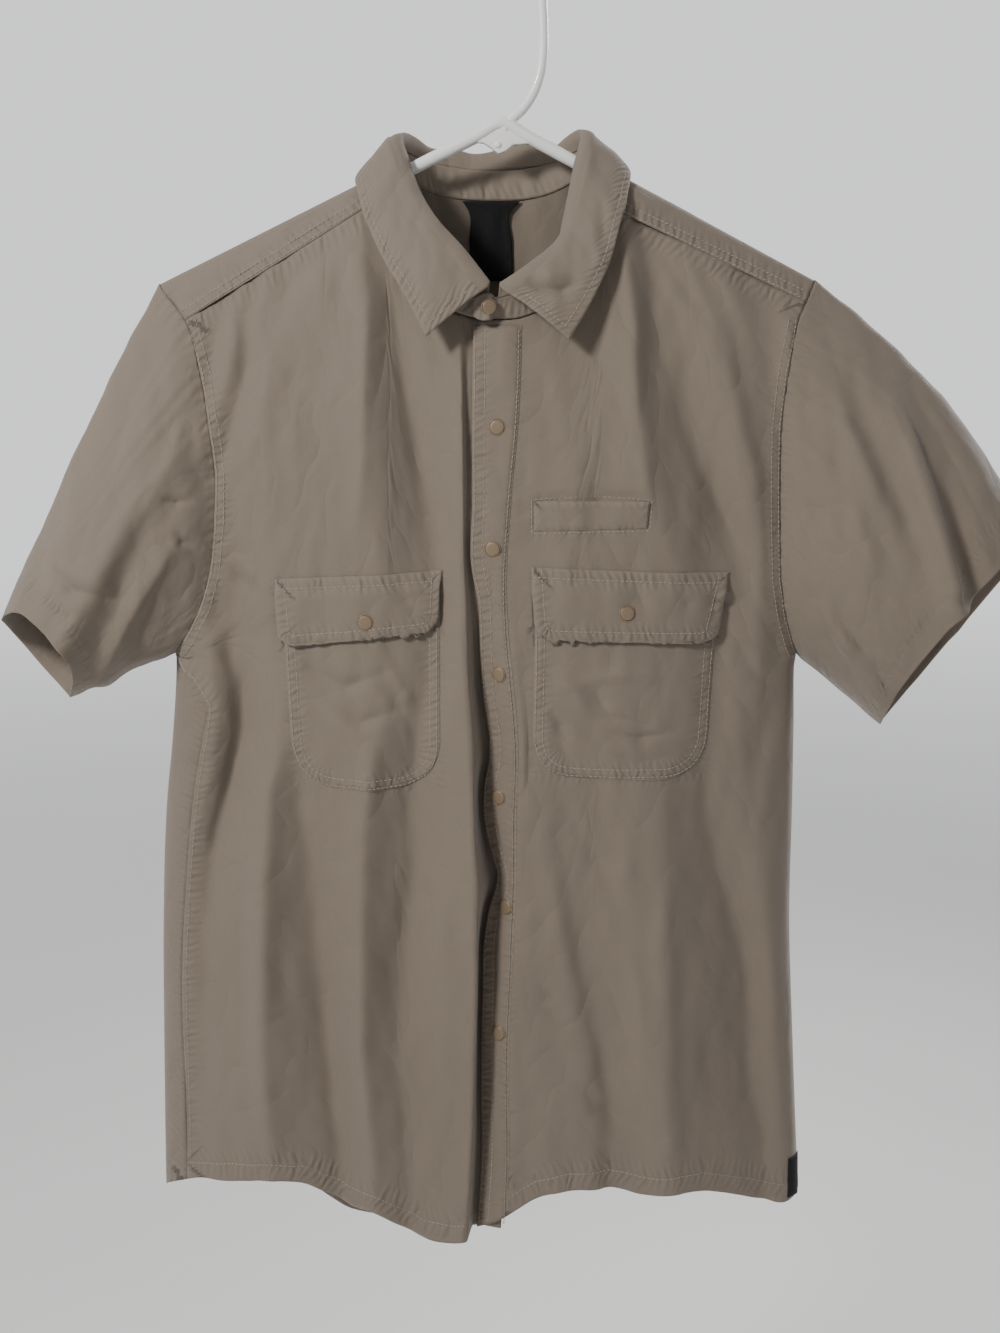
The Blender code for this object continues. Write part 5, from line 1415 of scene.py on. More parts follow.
def path_distance(rows, x, z):
    return path_place([row[:2] for row in rows], x, z)[0]


# Pieces that lie on the fronts

def outline_rows(corners, rows, columns):
    """Points across and height inside a patch's outline, top row first, closer at round corners."""
    (ax, az, _), (bx, bz, left_r), (cx, cz, right_r), (dx, dz, _) = corners
    tall = ((az - bz) + (dz - cz)) / 2
    round_part = max(left_r, right_r)
    bent = max(rows // 3, 6)
    straight = np.linspace(tall, round_part, rows - bent)
    turn = np.linspace(0, math.pi / 2, bent + 1)[1:]
    left_over = np.concatenate([straight, round_part * (1 - np.sin(turn))])
    u = np.linspace(0, 1, columns)
    x_rows, z_rows = [], []
    for over in left_over:
        t = 1 - over / tall
        ends = []
        for radius in (left_r, right_r):
            inside = max(radius - over, 0)
            ends.append(radius - math.sqrt(max(radius**2 - inside**2, 0)))
        left = ax + (bx - ax) * t + ends[0]
        right = dx + (cx - dx) * t - ends[1]
        x = left + (right - left) * u
        top = az + (dz - az) * u
        low = bz + (cz - bz) * u
        x_rows.append(x)
        z_rows.append(top + (low - top) * t)
    return np.array(x_rows) * MM, np.array(z_rows) * MM


def grid_worn(distance):
    return bell_at(distance, 0, WORN_WIDTH)


def fields_of(worn, away, run):
    """What the cloth's material reads of its seams: wear, distance to a seam and run along it."""
    return {"worn": [worn], "seam_away": [away], "seam_run": [run]}


def seam_relief(edge, rows_at):
    """How a stitched edge stands out: a soft rim, sunk along each row of stitches."""
    out = 0.55 * (1 - bell_at(edge, 0, 1.3)) * MM + 0.22 * bell_at(edge, 4.2, 1.8) * MM
    return out - grooves(edge, rows_at, 0.26, 0.75)


def grooves(distance, rows_at, deep, wide):
    """The dents along rows of stitches, in metres, from the distance to an edge in millimetres."""
    return sum((deep * bell_at(distance, at, wide) * MM for at in rows_at), 0.0)


def patch_grid(corners, depth, lift, rows, columns, rows_at, bulge=0.0):
    """A patch on the front's surface, with its seam fields. lift is one value or one for each row."""
    x, z = outline_rows(corners, rows, columns)
    base = points(x, depth(x, z), z)
    loop = [(p.x / MM, p.y / MM) for p in rounded_outline(corners)]
    edge, run, _ = path_place([*loop, loop[0]], x, z)
    lift = np.broadcast_to(np.asarray(lift, float).reshape(-1, 1), x.shape)
    out = lift + seam_relief(edge, rows_at) + bulge * (1 - bell_at(edge, 0, BULGE_WIDTH))
    return base + normals_of(base, FRONTWARD) * out[..., None], fields_of(grid_worn(edge), edge, run)


def flap_lift(rows):
    """A flap lies flat at its top seam and stands off over the pocket below it."""
    down = np.linspace(0, 1, rows)
    rise = (FLAP_HIGH - FLAP_LOW) * eased(np.clip(down / FLAP_BEND, 0, 1))
    return FLAP_LOW + rise + FLAP_FLARE * down**2


# Stitches

def even(line, step):
    """A line of points again, with points at that step."""
    return spread(line, max(int(run_of(line)[-1] / step), 2) + 1)


def flat_line(rows):
    """A path of place and height in millimetres as points that are close together."""
    rows = np.array(rows, float) * MM
    return even(np.stack([rows[:, 0], np.zeros(len(rows)), rows[:, 1]], 1), PATH_STEP)


def flat_path(rows, count):
    """A path of place and height again, with points at even steps."""
    return spread(np.array([(a, 0, b) for a, b in rows], float), count)[:, [0, 2]]


class Stitches:
    """Many short stitches gathered in one mesh."""

    def __init__(self):
        self.verts, self.faces = [], []

    def run(self, line, normals):
        """Stitches along a line on the cloth, each a thread that dips in at both ends."""
        run = run_of(line)
        for start_at in np.arange(0.5 * MM, run[-1] - STITCH_LONG, STITCH_STEP):
            at = start_at + STITCH_LONG * THREAD_PLACES
            centre, normal = taken(line, run, at), taken(normals, run, at)
            normal /= np.linalg.norm(normal, axis=1)[:, None]
            centre = centre + normal * THREAD_RISE[:, None]
            side = np.cross(np.gradient(centre, axis=0), normal)
            side /= np.maximum(np.linalg.norm(side, axis=1), 1e-12)[:, None]
            first = len(self.verts)
            for c, n, s in zip(centre, normal, side):
                self.verts += [c + s * THREAD, c + n * THREAD * 0.8, c - s * THREAD, c - n * THREAD * 0.8]
            for ring in range(len(THREAD_PLACES) - 1):
                for k in range(4):
                    a = first + ring * 4 + k
                    b = first + ring * 4 + (k + 1) % 4
                    self.faces.append((a, b, b + 4, a + 4))
            last = len(self.verts)
            self.faces.append((first + 3, first + 2, first + 1, first))
            self.faces.append((last - 4, last - 3, last - 2, last - 1))

    def on_front(self, rows, depth, lift=0.0):
        """Stitches along a path of across and height, on a front's surface."""
        x, _, z = flat_line(rows).T
        y = depth(x, z)
        slope_x = (depth(x + LITTLE, z) - depth(x - LITTLE, z)) / (2 * LITTLE)
        slope_z = (depth(x, z + LITTLE) - depth(x, z - LITTLE)) / (2 * LITTLE)
        normal = np.stack([slope_x, -np.ones_like(x), slope_z], 1)
        normal /= np.linalg.norm(normal, axis=1)[:, None]
        self.run(points(x, y, z) + normal * lift, normal)

    def on_face(self, rows, tree):
        """Stitches along a path of across and height, on the faces that meet rays from the front."""
        spots = [spot for x, _, z in flat_line(rows) for spot in front_hit(tree, x, z)]
        self.run(np.array([place for place, _ in spots]), np.array([normal for _, normal in spots]))

    def on_grid(self, grid, normals, line):
        """Stitches along a path of row and column in a grid."""
        i, j = np.array(line, float).T
        i0 = np.clip(np.floor(i).astype(int), 0, grid.shape[0] - 2)
        j0 = np.clip(np.floor(j).astype(int), 0, grid.shape[1] - 2)
        a, b = (i - i0)[:, None], (j - j0)[:, None]

        def at_path(values):
            top = values[i0, j0] * (1 - b) + values[i0, j0 + 1] * b
            low = values[i0 + 1, j0] * (1 - b) + values[i0 + 1, j0 + 1] * b
            return top * (1 - a) + low * a

        self.run(at_path(grid), at_path(normals))

    def made(self, name, finish):
        data = bpy.data.meshes.new(name)
        data.from_pydata([tuple(v) for v in self.verts], [], self.faces)
        data.shade_smooth()
        piece(name, data, finish, "cloth")


def inset_path(rows, distance):
    """An open path moved to its right by a distance, in millimetres."""
    path = np.array([row[:2] for row in rows], float)
    way = np.gradient(path, axis=0)
    way /= np.linalg.norm(way, axis=1)[:, None]
    return [(p[0] + w[1] * distance, p[1] - w[0] * distance) for p, w in zip(path, way)]


def patch_path(corners, distance):
    """The path of stitches inside a patch's sides and foot, from its top left round to its top right."""
    (ax, az, _), (bx, bz, left_r), (cx, cz, right_r), (dx, dz, _) = corners
    moved = [
        (ax + distance, az, 0.1), (bx + distance, bz + distance, max(left_r - distance, 1.0)),
        (cx - distance, cz + distance, max(right_r - distance, 1.0)), (dx - distance, dz, 0.1),
    ]
    return [(p.x / MM, p.y / MM) for p in rounded_outline(moved)]


# Cloth pieces

def row_at_length(grid, length):
    """The row index, with its part, that lies that far up from the last row."""
    steps = np.linalg.norm(np.diff(grid, axis=0), axis=2).mean(axis=1)[::-1]
    run = np.concatenate([[0], np.cumsum(steps)])
    return grid.shape[0] - 1 - np.interp(length, run, np.arange(len(run)))


def above_foot(grid):
    """How far each point lies from its column's foot, in millimetres."""
    lengths = np.linalg.norm(np.diff(grid, axis=0), axis=2)
    return np.concatenate([np.cumsum(lengths[::-1], axis=0)[::-1], np.zeros((1, grid.shape[1]))]) / MM


def pucker_wave(run):
    return sum(h * np.sin(2 * math.pi * run / length + k) for k, (length, h) in enumerate(PUCKER_LENGTHS))


def smooth_rows(grid, count):
    """A grid again with that many rows, on a smooth curve through the ones it has."""
    steps = np.linalg.norm(np.diff(grid, axis=0), axis=2).mean(axis=1)
    at = np.concatenate([[0], np.cumsum(steps)])
    slopes = np.gradient(grid, at, axis=0)
    wanted = np.linspace(0, at[-1], count)
    i = np.clip(np.searchsorted(at, wanted) - 1, 0, len(at) - 2)
    step = (at[i + 1] - at[i])[:, None, None]
    t = (wanted - at[i])[:, None, None] / step
    return curve_between(grid, slopes, i, t, step)


def lathe(name, profile, sides):
    """A round form: rows of radius and height, closed at the middle."""
    mesh = bmesh.new()
    turns = [2 * math.pi * k / sides for k in range(sides)]
    rings = [[mesh.verts.new((radius * math.cos(turn), radius * math.sin(turn), height)) for turn in turns]
             for radius, height in profile]
    for low, high in zip(rings[:-1], rings[1:]):
        for k in range(sides):
            m = (k + 1) % sides
            mesh.faces.new((low[k], low[m], high[m], high[k]))
    mesh.faces.new(rings[0][::-1])
    mesh.faces.new(rings[-1])
    return mesh_from(mesh, name)


def snap_on(name, centre, tree, finish):
    """A domed cap with a rolled rim, set on the face below it."""
    x, z = centre[0] * MM, centre[1] * MM
    spots = []
    for dx, dz in [(0, 0), (1, 0), (-1, 0), (0, 1), (0, -1)]:
        spots += front_hit(tree, x + dx * SNAP_PROBE, z + dz * SNAP_PROBE)
    normal = sum((n for _, n in spots), Vector()).normalized()
    reach = max((p - spots[0][0]).dot(normal) for p, _ in spots)
    profile = [(share * SNAP_RADIUS, height * MM) for share, height in SNAP_PROFILE]
    cap = piece(name + "_cap", lathe(name + "_cap", profile, 40), finish, "snap_metal", (name,))
    cap.data.transform(set_on(normal, spots[0][0] + normal * reach))


def tree_of(thing):
    """A search tree over the faces of a piece."""
    faces = [list(p.vertices) for p in thing.data.polygons]
    return BVHTree.FromPolygons([tuple(v.co) for v in thing.data.vertices], faces)


def tube_mesh(name, line, radius, closed, sides):
    curve = bpy.data.curves.new(name, "CURVE")
    curve.dimensions = "3D"
    curve.bevel_depth = radius
    curve.bevel_resolution = sides
    curve.use_fill_caps = not closed
    spline = curve.splines.new("POLY")
    spline.points.add(len(line) - 1)
    for point, at in zip(spline.points, line):
        point.co = (*at, 1)
    spline.use_cyclic_u = closed
    thing = bpy.data.objects.new(name, curve)
    bpy.context.scene.collection.objects.link(thing)
    graph = bpy.context.evaluated_depsgraph_get()
    data = bpy.data.meshes.new_from_object(thing.evaluated_get(graph))
    bpy.data.objects.remove(thing)
    data.shade_smooth()
    return data


def smooth_line(line, count, closed):
    """A smooth curve through a line's points, at even steps."""
    line = np.array(line, float)
    if closed:
        line = np.concatenate([line[-2:], line, line[:3]])
    at = run_of(line)
    slopes = np.gradient(line, at, axis=0)
    if closed:
        wanted = np.linspace(at[2], at[-2], count + 1)[:-1]
    else:
        wanted = np.linspace(at[0], at[-1], count)
    i = np.clip(np.searchsorted(at, wanted, side="right") - 1, 0, len(at) - 2)
    step = (at[i + 1] - at[i])[:, None]
    t = (wanted - at[i])[:, None] / step
    return curve_between(line, slopes, i, t, step)


def band_lift(edge, wide, high):
    """The step of a doubled band along an edge, in metres, from the distance to it in millimetres."""
    return high * MM * eased(np.clip((wide + 1.2 - edge) / 1.6, 0, 1))


def to_side_seam(grid):
    """The left front with its side drawn back to the seam where it meets the back."""
    out = np.array(grid)
    fade = np.clip(1 - np.linalg.norm(grid - grid[:, :1], axis=2) / SIDE_TURN, 0, 1)
    below = np.clip((UNDERARM - grid[:, 0, 2]) / SIDE_START, 0, 1)
    out[..., 1] += (below * (-SEAM_GAP - grid[:, 0, 1]))[:, None] * eased(fade)
    return out


def make_fronts(cloth):
    """Both fronts, with a doubled band at armhole and hem, dented along their stitched rows."""
    grids = {"right": front_grid("right"), "left": to_side_seam(front_grid("left"))}
    for side, arm, hem, seams, patches in (
            ("right", ARMHOLE_FRONT_LEFT, HEM_FRONT_LEFT, RIGHT_SEAMS, RIGHT_PATCHES),
            ("left", ARMHOLE_FRONT_RIGHT, HEM_FRONT_RIGHT, LEFT_SEAMS, LEFT_PATCHES)):
        grid = grids[side]
        x, z = grid[..., 0], grid[..., 2]
        edge, hem_edge = path_distance(turned(arm), x, z), path_distance(hem, x, z)
        out = band_lift(edge, *ARM_BAND) + band_lift(hem_edge, *HEM_BAND)
        out = out - grooves(edge, SEAM_ROWS, *SEAM_DENT) - grooves(hem_edge, (HEM_ROW,), *HEM_DENT)
        away, run = seam_fields(seams, patches, x, z)
        fields = fields_of(grid_worn(edge) + grid_worn(hem_edge), away, run)
        place = grid + normals_of(grid, FRONTWARD) * out[..., None]
        sewn("front_%s_cloth" % side, "front_" + side, [place], [False], cloth, WALL, fields)
    return grids["right"], grids["left"]


def make_back(cloth):
    """The back with its hem's row, and the part of it that turns to the front at the left side seam."""
    back = back_grid()
    x, z = back[..., 0], back[..., 2]
    hem_edge = path_distance(HEM_BACK, x, z)
    normal = normals_of(back, -FRONTWARD)
    out = np.where(normal[..., 1] < -0.2, 0, -grooves(hem_edge, (HEM_ROW,), *HEM_DENT))
    away, run = seam_fields([*BACK_SEAMS, turned(SIDE_SEAM_LEFT)], [], x, z)
    fields = fields_of(grid_worn(hem_edge), away, run)
    sewn("back_cloth", "back_panel", [back + normal * out[..., None]], [True], cloth, WALL, fields)
    return back


def make_yoke(cloth):
    """The yoke in three grids, raised in a band along its seams."""
    yoke = yoke_faces()
    places, fields = [], {"worn": [], "seam_away": [], "seam_run": []}
    for index, grid in enumerate(yoke):
        x, z = grid[..., 0], grid[..., 2]
        edge, run, _ = path_place((YOKE_SEAM_LEFT, YOKE_SEAM_RIGHT, YOKE_SEAM_BACK)[index], x, z)
        toward = np.sign(grid[..., 1:2]) * np.array([0, 1, 0.0]) + np.array([0, 0, 0.2])
        normal = normals_of(grid, toward)
        shows = (grid[..., 1] < 0) | (index == 2)
        lift = np.where(shows, band_lift(edge, *YOKE_BAND) - grooves(edge, SEAM_ROWS, *SEAM_DENT), 0)
        small = rippled(x, z, 1.3) * np.clip(edge / 12, 0, 1) * 0.8
        off_ridge = np.minimum(np.abs(np.arange(len(grid))[:, None] - len(grid) // 2) / 4, 1)
        lift = lift + small * (off_ridge if index < 2 else 1) * (np.abs(grid[..., 1]) > 8 * MM)
        lift[:, 0] = 0
        if index == 2:
            lift[:, -1] = 0
        places.append(grid + normal * lift[..., None])
        fields["worn"].append(np.where(shows, grid_worn(edge), 0))
        fields["seam_away"].append(edge)
        fields["seam_run"].append(run)
    sewn("yoke_cloth", "yoke", places, [False, True, True], cloth, WALL, fields)
    return yoke


def yoke_depth(x, z):
    return front_base(x, z) - YOKE_BAND[1] * MM


def stitch_panels(stitches):
    """The stitched rows of the yoke, the armholes, the hems and the right side seam."""
    for seam in (YOKE_SEAM_LEFT, YOKE_SEAM_RIGHT):
        for at in SEAM_ROWS:
            stitches.on_front(inset_path(flat_path(seam, 60), -at), yoke_depth, 0.05 * MM)
    for arm, inward, depth in (
            (ARMHOLE_FRONT_LEFT, -1, right_front_y), (ARMHOLE_FRONT_RIGHT, 1, left_front_y)):
        path = flat_path([row for row in turned(arm) if row[1] < ARM_STITCH_TOP], 90)
        for at in SEAM_ROWS:
            stitches.on_front(inset_path(path, inward * at), depth, 0.45 * MM)
    path = flat_path(HEM_FRONT_LEFT[1:-1], 120)
    stitches.on_front([(a, b + HEM_ROW) for a, b in path if a < -26], right_front_y)
    path = flat_path(HEM_FRONT_RIGHT[1:-1], 120)
    stitches.on_front([(a, b + HEM_ROW) for a, b in path if a > 6], left_front_y)
    side = [(a + 3.2, b) for b, a in SIDE_SEAM_LEFT if b > -860]
    stitches.on_front(flat_path(side, 90), right_front_y)


def short_front(grid, short):
    """The sleeve with its hem drawn up at the front, so that the inside of its back shows below."""
    cuff = grid[-1]
    middle = cuff.mean(axis=0)
    front = eased(np.clip((middle[1] - cuff[:, 1]) / np.ptp(cuff[:, 1]) * 2, 0, 1))
    out = np.array(grid)
    for j in range(grid.shape[1]):
        run = run_of(grid[:, j])
        at = np.linspace(0, run[-1] - short * MM * front[j], len(run))
        out[:, j] = taken(grid[:, j], run, at)
    return out


def sleeve_normals(grid):
    """Normals that face out of a sleeve, the same across its join."""
    wrapped = np.concatenate([grid[:, -1:], grid, grid[:, :1]], axis=1)
    return normals_of(wrapped, wrapped - grid.mean(axis=1, keepdims=True))[:, 1:-1]


def make_sleeves(right, left, back, yoke, cloth, stitches):
    """Both sleeves, creased and puckered, each with one row of stitches above its hem."""
    rows = np.linspace(0, 1, SLEEVE_ROWS)[:, None]
    for side, front, over, flip in (("right", right, yoke[0], False), ("left", left, yoke[1], True)):
        grid = short_front(sleeve_grid(side, front, back, over), CUFF_SHORT[side])
        grid[..., 1] -= np.sign(grid[..., 1]) * (np.clip(1 - rows / 0.05, 0, 1) * SLEEVE_TUCK)
        normal = sleeve_normals(grid)
        hem_row = row_at_length(grid, SLEEVE_HEM)
        row_length = np.linalg.norm(np.diff(grid, axis=0), axis=2).mean() / MM
        away = (np.arange(SLEEVE_ROWS)[:, None] - hem_row) * row_length
        x, z = grid[..., 0], grid[..., 2]
        run = run_of(grid[SLEEVE_ROWS // 2]) / MM
        creases = creased(CREASES_SLEEVES, x, z) * (grid[..., 1] < 0)
        out = (rippled(x, z, 3.7) + creases) * np.clip(rows / 0.08, 0, 1)
        pucker = bell_at(away, 0, PUCKER_WIDTH) + 0.8 * bell_at(rows * SLEEVE_LONG, 0, PUCKER_WIDTH)
        out = out + PUCKER_HEIGHT * MM * pucker_wave(run) * pucker - 0.25 * MM * bell_at(away, 0, 0.9)
        grid = grid + normal * out[..., None]
        everywhere = np.zeros(grid.shape[:2])
        from_cuff = (SLEEVE_ROWS - 1 - np.arange(SLEEVE_ROWS))[:, None] * 1.7 + everywhere
        seam = np.minimum(np.abs(away) + INNER_ROW, rows * SLEEVE_LONG + 4) + everywhere
        fields = fields_of(grid_worn(from_cuff), seam, run + everywhere)
        name = "sleeve_" + side
        sewn(name + "_cloth", name, [grid], [flip], cloth, WALL, fields, (0,))
        closed = np.concatenate([grid, grid[:, :1]], axis=1)
        closed_normal = np.concatenate([normal, normal[:, :1]], axis=1)
        columns = np.linspace(0, grid.shape[1], 400)
        stitches.on_grid(closed, closed_normal, [(hem_row, j) for j in columns])


def make_stand(cloth):
    """The collar's stand with its lapping end, puckered round the back of the neck."""
    stand = smooth_rows(stand_grid(), 15)
    tab = smooth_rows(stand[:, -5:].transpose(1, 0, 2), 36).transpose(1, 0, 2)
    stand = np.concatenate([stand[:, :-5], tab], axis=1)
    away = above_foot(stand)
    run = run_of(stand[-1]) / MM
    inward = normals_of(stand, stand - NECK_MIDDLE)
    crumple = pucker_wave(run) * 0.9 * MM * np.sin(math.pi * np.linspace(0, 1, len(stand)))[:, None]
    stand = stand + inward * crumple[..., None] * (stand[..., 1:2] > 0)
    fields = fields_of(np.zeros(away.shape), away, run + np.zeros(away.shape))
    return sewn("collar_stand_cloth", "collar_stand", [stand], [False], cloth, COLLAR_WALL, fields, (), 0)


def make_collar(cloth, stitches):
    """The collar over its fold, creased, crumpled at the back, with one row of stitches round it."""
    grid = smooth_rows(collar_grid(), 44)
    rows = np.arange(len(grid))[:, None]
    ends = np.linalg.norm(np.diff(grid, axis=1), axis=2)
    run = np.concatenate([np.zeros((len(grid), 1)), np.cumsum(ends, axis=1)], axis=1) / MM
    fall = rows > 16
    edge = np.where(fall, np.minimum(above_foot(grid), np.minimum(run, run[:, -1:] - run)), 60)
    normal = normals_of(grid, grid - NECK_MIDDLE)
    out = -grooves(edge, (COLLAR_ROW,), 0.26, 0.8) - grooves(edge, (0,), 0.3, 0.9)
    out = out + creased(CREASES_COLLAR, grid[..., 0], grid[..., 2]) * (grid[..., 1] < 0) * fall
    out = out + 0.7 * rippled(grid[..., 0] * 1.6, grid[..., 2] * 1.6, 6.1) * fall
    grid = grid + normal * out[..., None]
    share = np.broadcast_to(np.linspace(0, 1, grid.shape[1])[None, :], edge.shape)
    grid[..., 2] += one([(a / MM, b) for a, b in COLLAR_CRUMPLE], share) * bell_at(rows, 13, 9.0)
    fields = fields_of(grid_worn(edge), np.where(edge > 30, FAR, edge), run + rows + 1)
    sewn("collar_cloth", "collar", [grid], [False], cloth, COLLAR_WALL, fields, (), 0)
    foot_row = row_at_length(grid, COLLAR_ROW * MM)
    columns = np.arange(grid.shape[1])
    first = [float(np.interp(COLLAR_ROW, run[r], columns)) for r in range(len(grid))]
    last = [float(np.interp(run[r, -1] - COLLAR_ROW, run[r], columns)) for r in range(len(grid))]
    path = [(r, first[r]) for r in range(20, int(foot_row) + 1)]
    path += [(foot_row, j) for j in np.linspace(first[-1], last[-1], 300)]
    path += [(r, last[r]) for r in range(int(foot_row), 19, -1)]
    stitches.on_grid(grid + normal * COLLAR_WALL / 2, normal, path)


def make_pockets(cloth, stitches):
    for name, corners in POCKETS.items():
        depth = right_front_y if name.endswith("right") else left_front_y
        grid, fields = patch_grid(corners, depth, PATCH_LIFT, 84, 72, SEAM_ROWS, 0.4 * MM)
        sewn(name + "_cloth", name, [grid], [True], cloth, PATCH_WALL, fields)
        for at in SEAM_ROWS:
            stitches.on_front(patch_path(corners, at), depth, PATCH_LIFT + 0.5 * MM)


def make_flaps(cloth, stitches):
    """The pocket flaps, each with a row of stitches round it. Gives the flaps by name."""
    made = {}
    for name, corners in FLAPS.items():
        depth = right_front_y if name.endswith("right") else left_front_y
        grid, fields = patch_grid(corners, depth, flap_lift(48), 48, 76, (INNER_ROW,), 0.3 * MM)
        made[name] = sewn(name + "_cloth", name, [grid], [True], cloth, FLAP_WALL, fields)
        tree = tree_of(made[name])
        stitches.on_face(patch_path(corners, INNER_ROW), tree)
        (left, left_z, _), (right, right_z, _) = corners[0], corners[3]
        stitches.on_face([(left + 1, left_z - INNER_ROW), (right - 1, right_z - INNER_ROW)], tree)
    return made


def make_welt(cloth, stitches):
    """The pen pocket's welt, with a row of stitches on the front round it."""
    lift = PATCH_LIFT + 0.9 * MM * (1 - np.linspace(0, 1, 22))
    grid, fields = patch_grid(PEN_WELT, left_front_y, lift, 22, 50, (), 0.2 * MM)
    fields["seam_away"] = [fields["seam_away"][0] + PATCH_EASE]
    sewn("pen_pocket_welt_cloth", "pen_pocket_welt", [grid], [True], cloth, PATCH_WALL, fields)
    (ax, az, _), (bx, bz, _), (cx, cz, _), (dx, dz, _) = PEN_WELT
    middle = ((ax + dx) / 2, az + 3.4)
    loop = [(ax - 1.6, az + 0.8), (bx - 1.6, bz - 1.6), (cx + 1.6, cz - 1.6), (dx + 1.6, dz + 0.8), middle]
    stitches.on_front([*loop, loop[0]], left_front_y, 0.05 * MM)


def make_placket(cloth, stitches):
    """The placket band on the left front's edge, with its three rows of stitches."""
    top = PLACKET_TOP * MM
    low = np.mean([one(HEM_FRONT_RIGHT, np.array(v)) for v in (-18 * MM, 0.0)])
    rows = np.linspace(top, low, 240)[:, None]
    inner, outer = one(PLACKET_EDGE, rows) + 0.3 * MM, one(PLACKET_STITCH, rows) + 1.6 * MM
    xs = inner + (outer - inner) * np.linspace(0, 1, 34)[None, :]
    zs = top + (one(HEM_FRONT_RIGHT, xs) - top) * (rows - top) / (rows[-1] - top)
    base = points(xs, left_front_y(xs, zs), zs)
    left_edge, right_edge = (xs - inner) / MM, (outer - xs) / MM
    out = 0.10 * MM + 0.90 * (1 - bell_at(left_edge, 0, 1.2)) * MM
    out = out * (0.1 + 0.9 * (1 - bell_at(right_edge, 0, 2.6)))
    out = out - grooves(left_edge, (1.6, 8.2), 0.26, 0.8) - grooves(right_edge, (2.2,), 0.26, 0.8)
    grid = base + normals_of(base, FRONTWARD) * out[..., None]
    run = -zs / MM + (right_edge < left_edge) * 3
    worn = grid_worn(np.minimum(left_edge, right_edge))
    fields = fields_of(worn, np.minimum(left_edge, right_edge + 5), run)
    made = sewn("front_placket_cloth", "front_placket", [grid], [True], cloth, PLACKET_WALL, fields)
    down = np.linspace(PLACKET_TOP - 2, low / MM - 1, 160)
    for table, shift in ((PLACKET_EDGE, 1.9), (PLACKET_EDGE, 8.5), (PLACKET_STITCH, -0.6)):
        path = [(float(one(table, np.array(v * MM))) / MM + shift, v) for v in down]
        stitches.on_front(path, left_front_y, 0.85 * MM)
    return made


def make_labels(tape):
    grid, _ = patch_grid(SIDE_LABEL, left_front_y, PATCH_LIFT + 0.2 * MM, 24, 12, (), 0)
    sewn("side_label_tape", "side_label", [grid], [True], tape, PATCH_WALL)
    grid = smooth_rows(neck_label_grid(), 40)
    sewn("neck_label_tape", "neck_label", [grid], [True], tape, PATCH_WALL)


def make_hanger(plastic):
    """The hanger: its tube, which stands for the node, its hook, its flat web and the web's boss."""
    data = tube_mesh("hanger_tube", smooth_line(frame_line(), 260, True), TUBE_RADIUS, True, 7)
    piece("hanger_tube", data, plastic, "hanger_plastic", ("hanger",))
    data = tube_mesh("hanger_hook", smooth_line(hook_line(), 120, False), HOOK_TUBE, False, 7)
    piece("hanger_hook", data, plastic, "hanger_plastic")
    mesh = bmesh.new()
    loop = [mesh.verts.new((x * MM, -WEB_THICK / 2, z * MM)) for x, z in WEB_OUTLINE]
    made = bmesh.ops.extrude_face_region(mesh, geom=[mesh.faces.new(loop)])
    moved = [v for v in made["geom"] if isinstance(v, bmesh.types.BMVert)]
    bmesh.ops.translate(mesh, verts=moved, vec=(0, WEB_THICK, 0))
    web = piece("hanger_web", mesh_from(mesh, "hanger_web"), plastic, "hanger_plastic")
    soft = web.modifiers.new("rounded", "BEVEL")
    soft.width = 1.2 * MM
    soft.segments = 4
    profile = [(r * MM, h * MM) for r, h in BOSS_PROFILE]
    boss = piece("hanger_boss", lathe("hanger_boss", profile, 28), plastic, "hanger_plastic")
    boss.data.transform(set_on(FRONT_WAY, (BOSS_PLACE[0] * MM, -WEB_THICK / 2, BOSS_PLACE[1] * MM)))


# Light, camera and ground

def world_ramp(tree, direction):
    """The strength of the world's light, dim on the camera's side and bright behind the shirt."""
    way = add(tree, "ShaderNodeSeparateXYZ")
    tree.links.new(direction, way.inputs[0])
    ramp = add(tree, "ShaderNodeMapRange",
               {"From Min": -0.5, "From Max": 0.7, "To Min": WORLD_FRONT, "To Max": WORLD_BACK})
    tree.links.new(way.outputs["Y"], ramp.inputs["Value"])
    return ramp.outputs[0]


def linked(tree, node, *sources):
    """The node with its first inputs linked from the sources."""
    for index, source in enumerate(sources):
        tree.links.new(source, node.inputs[index])
    return node.outputs


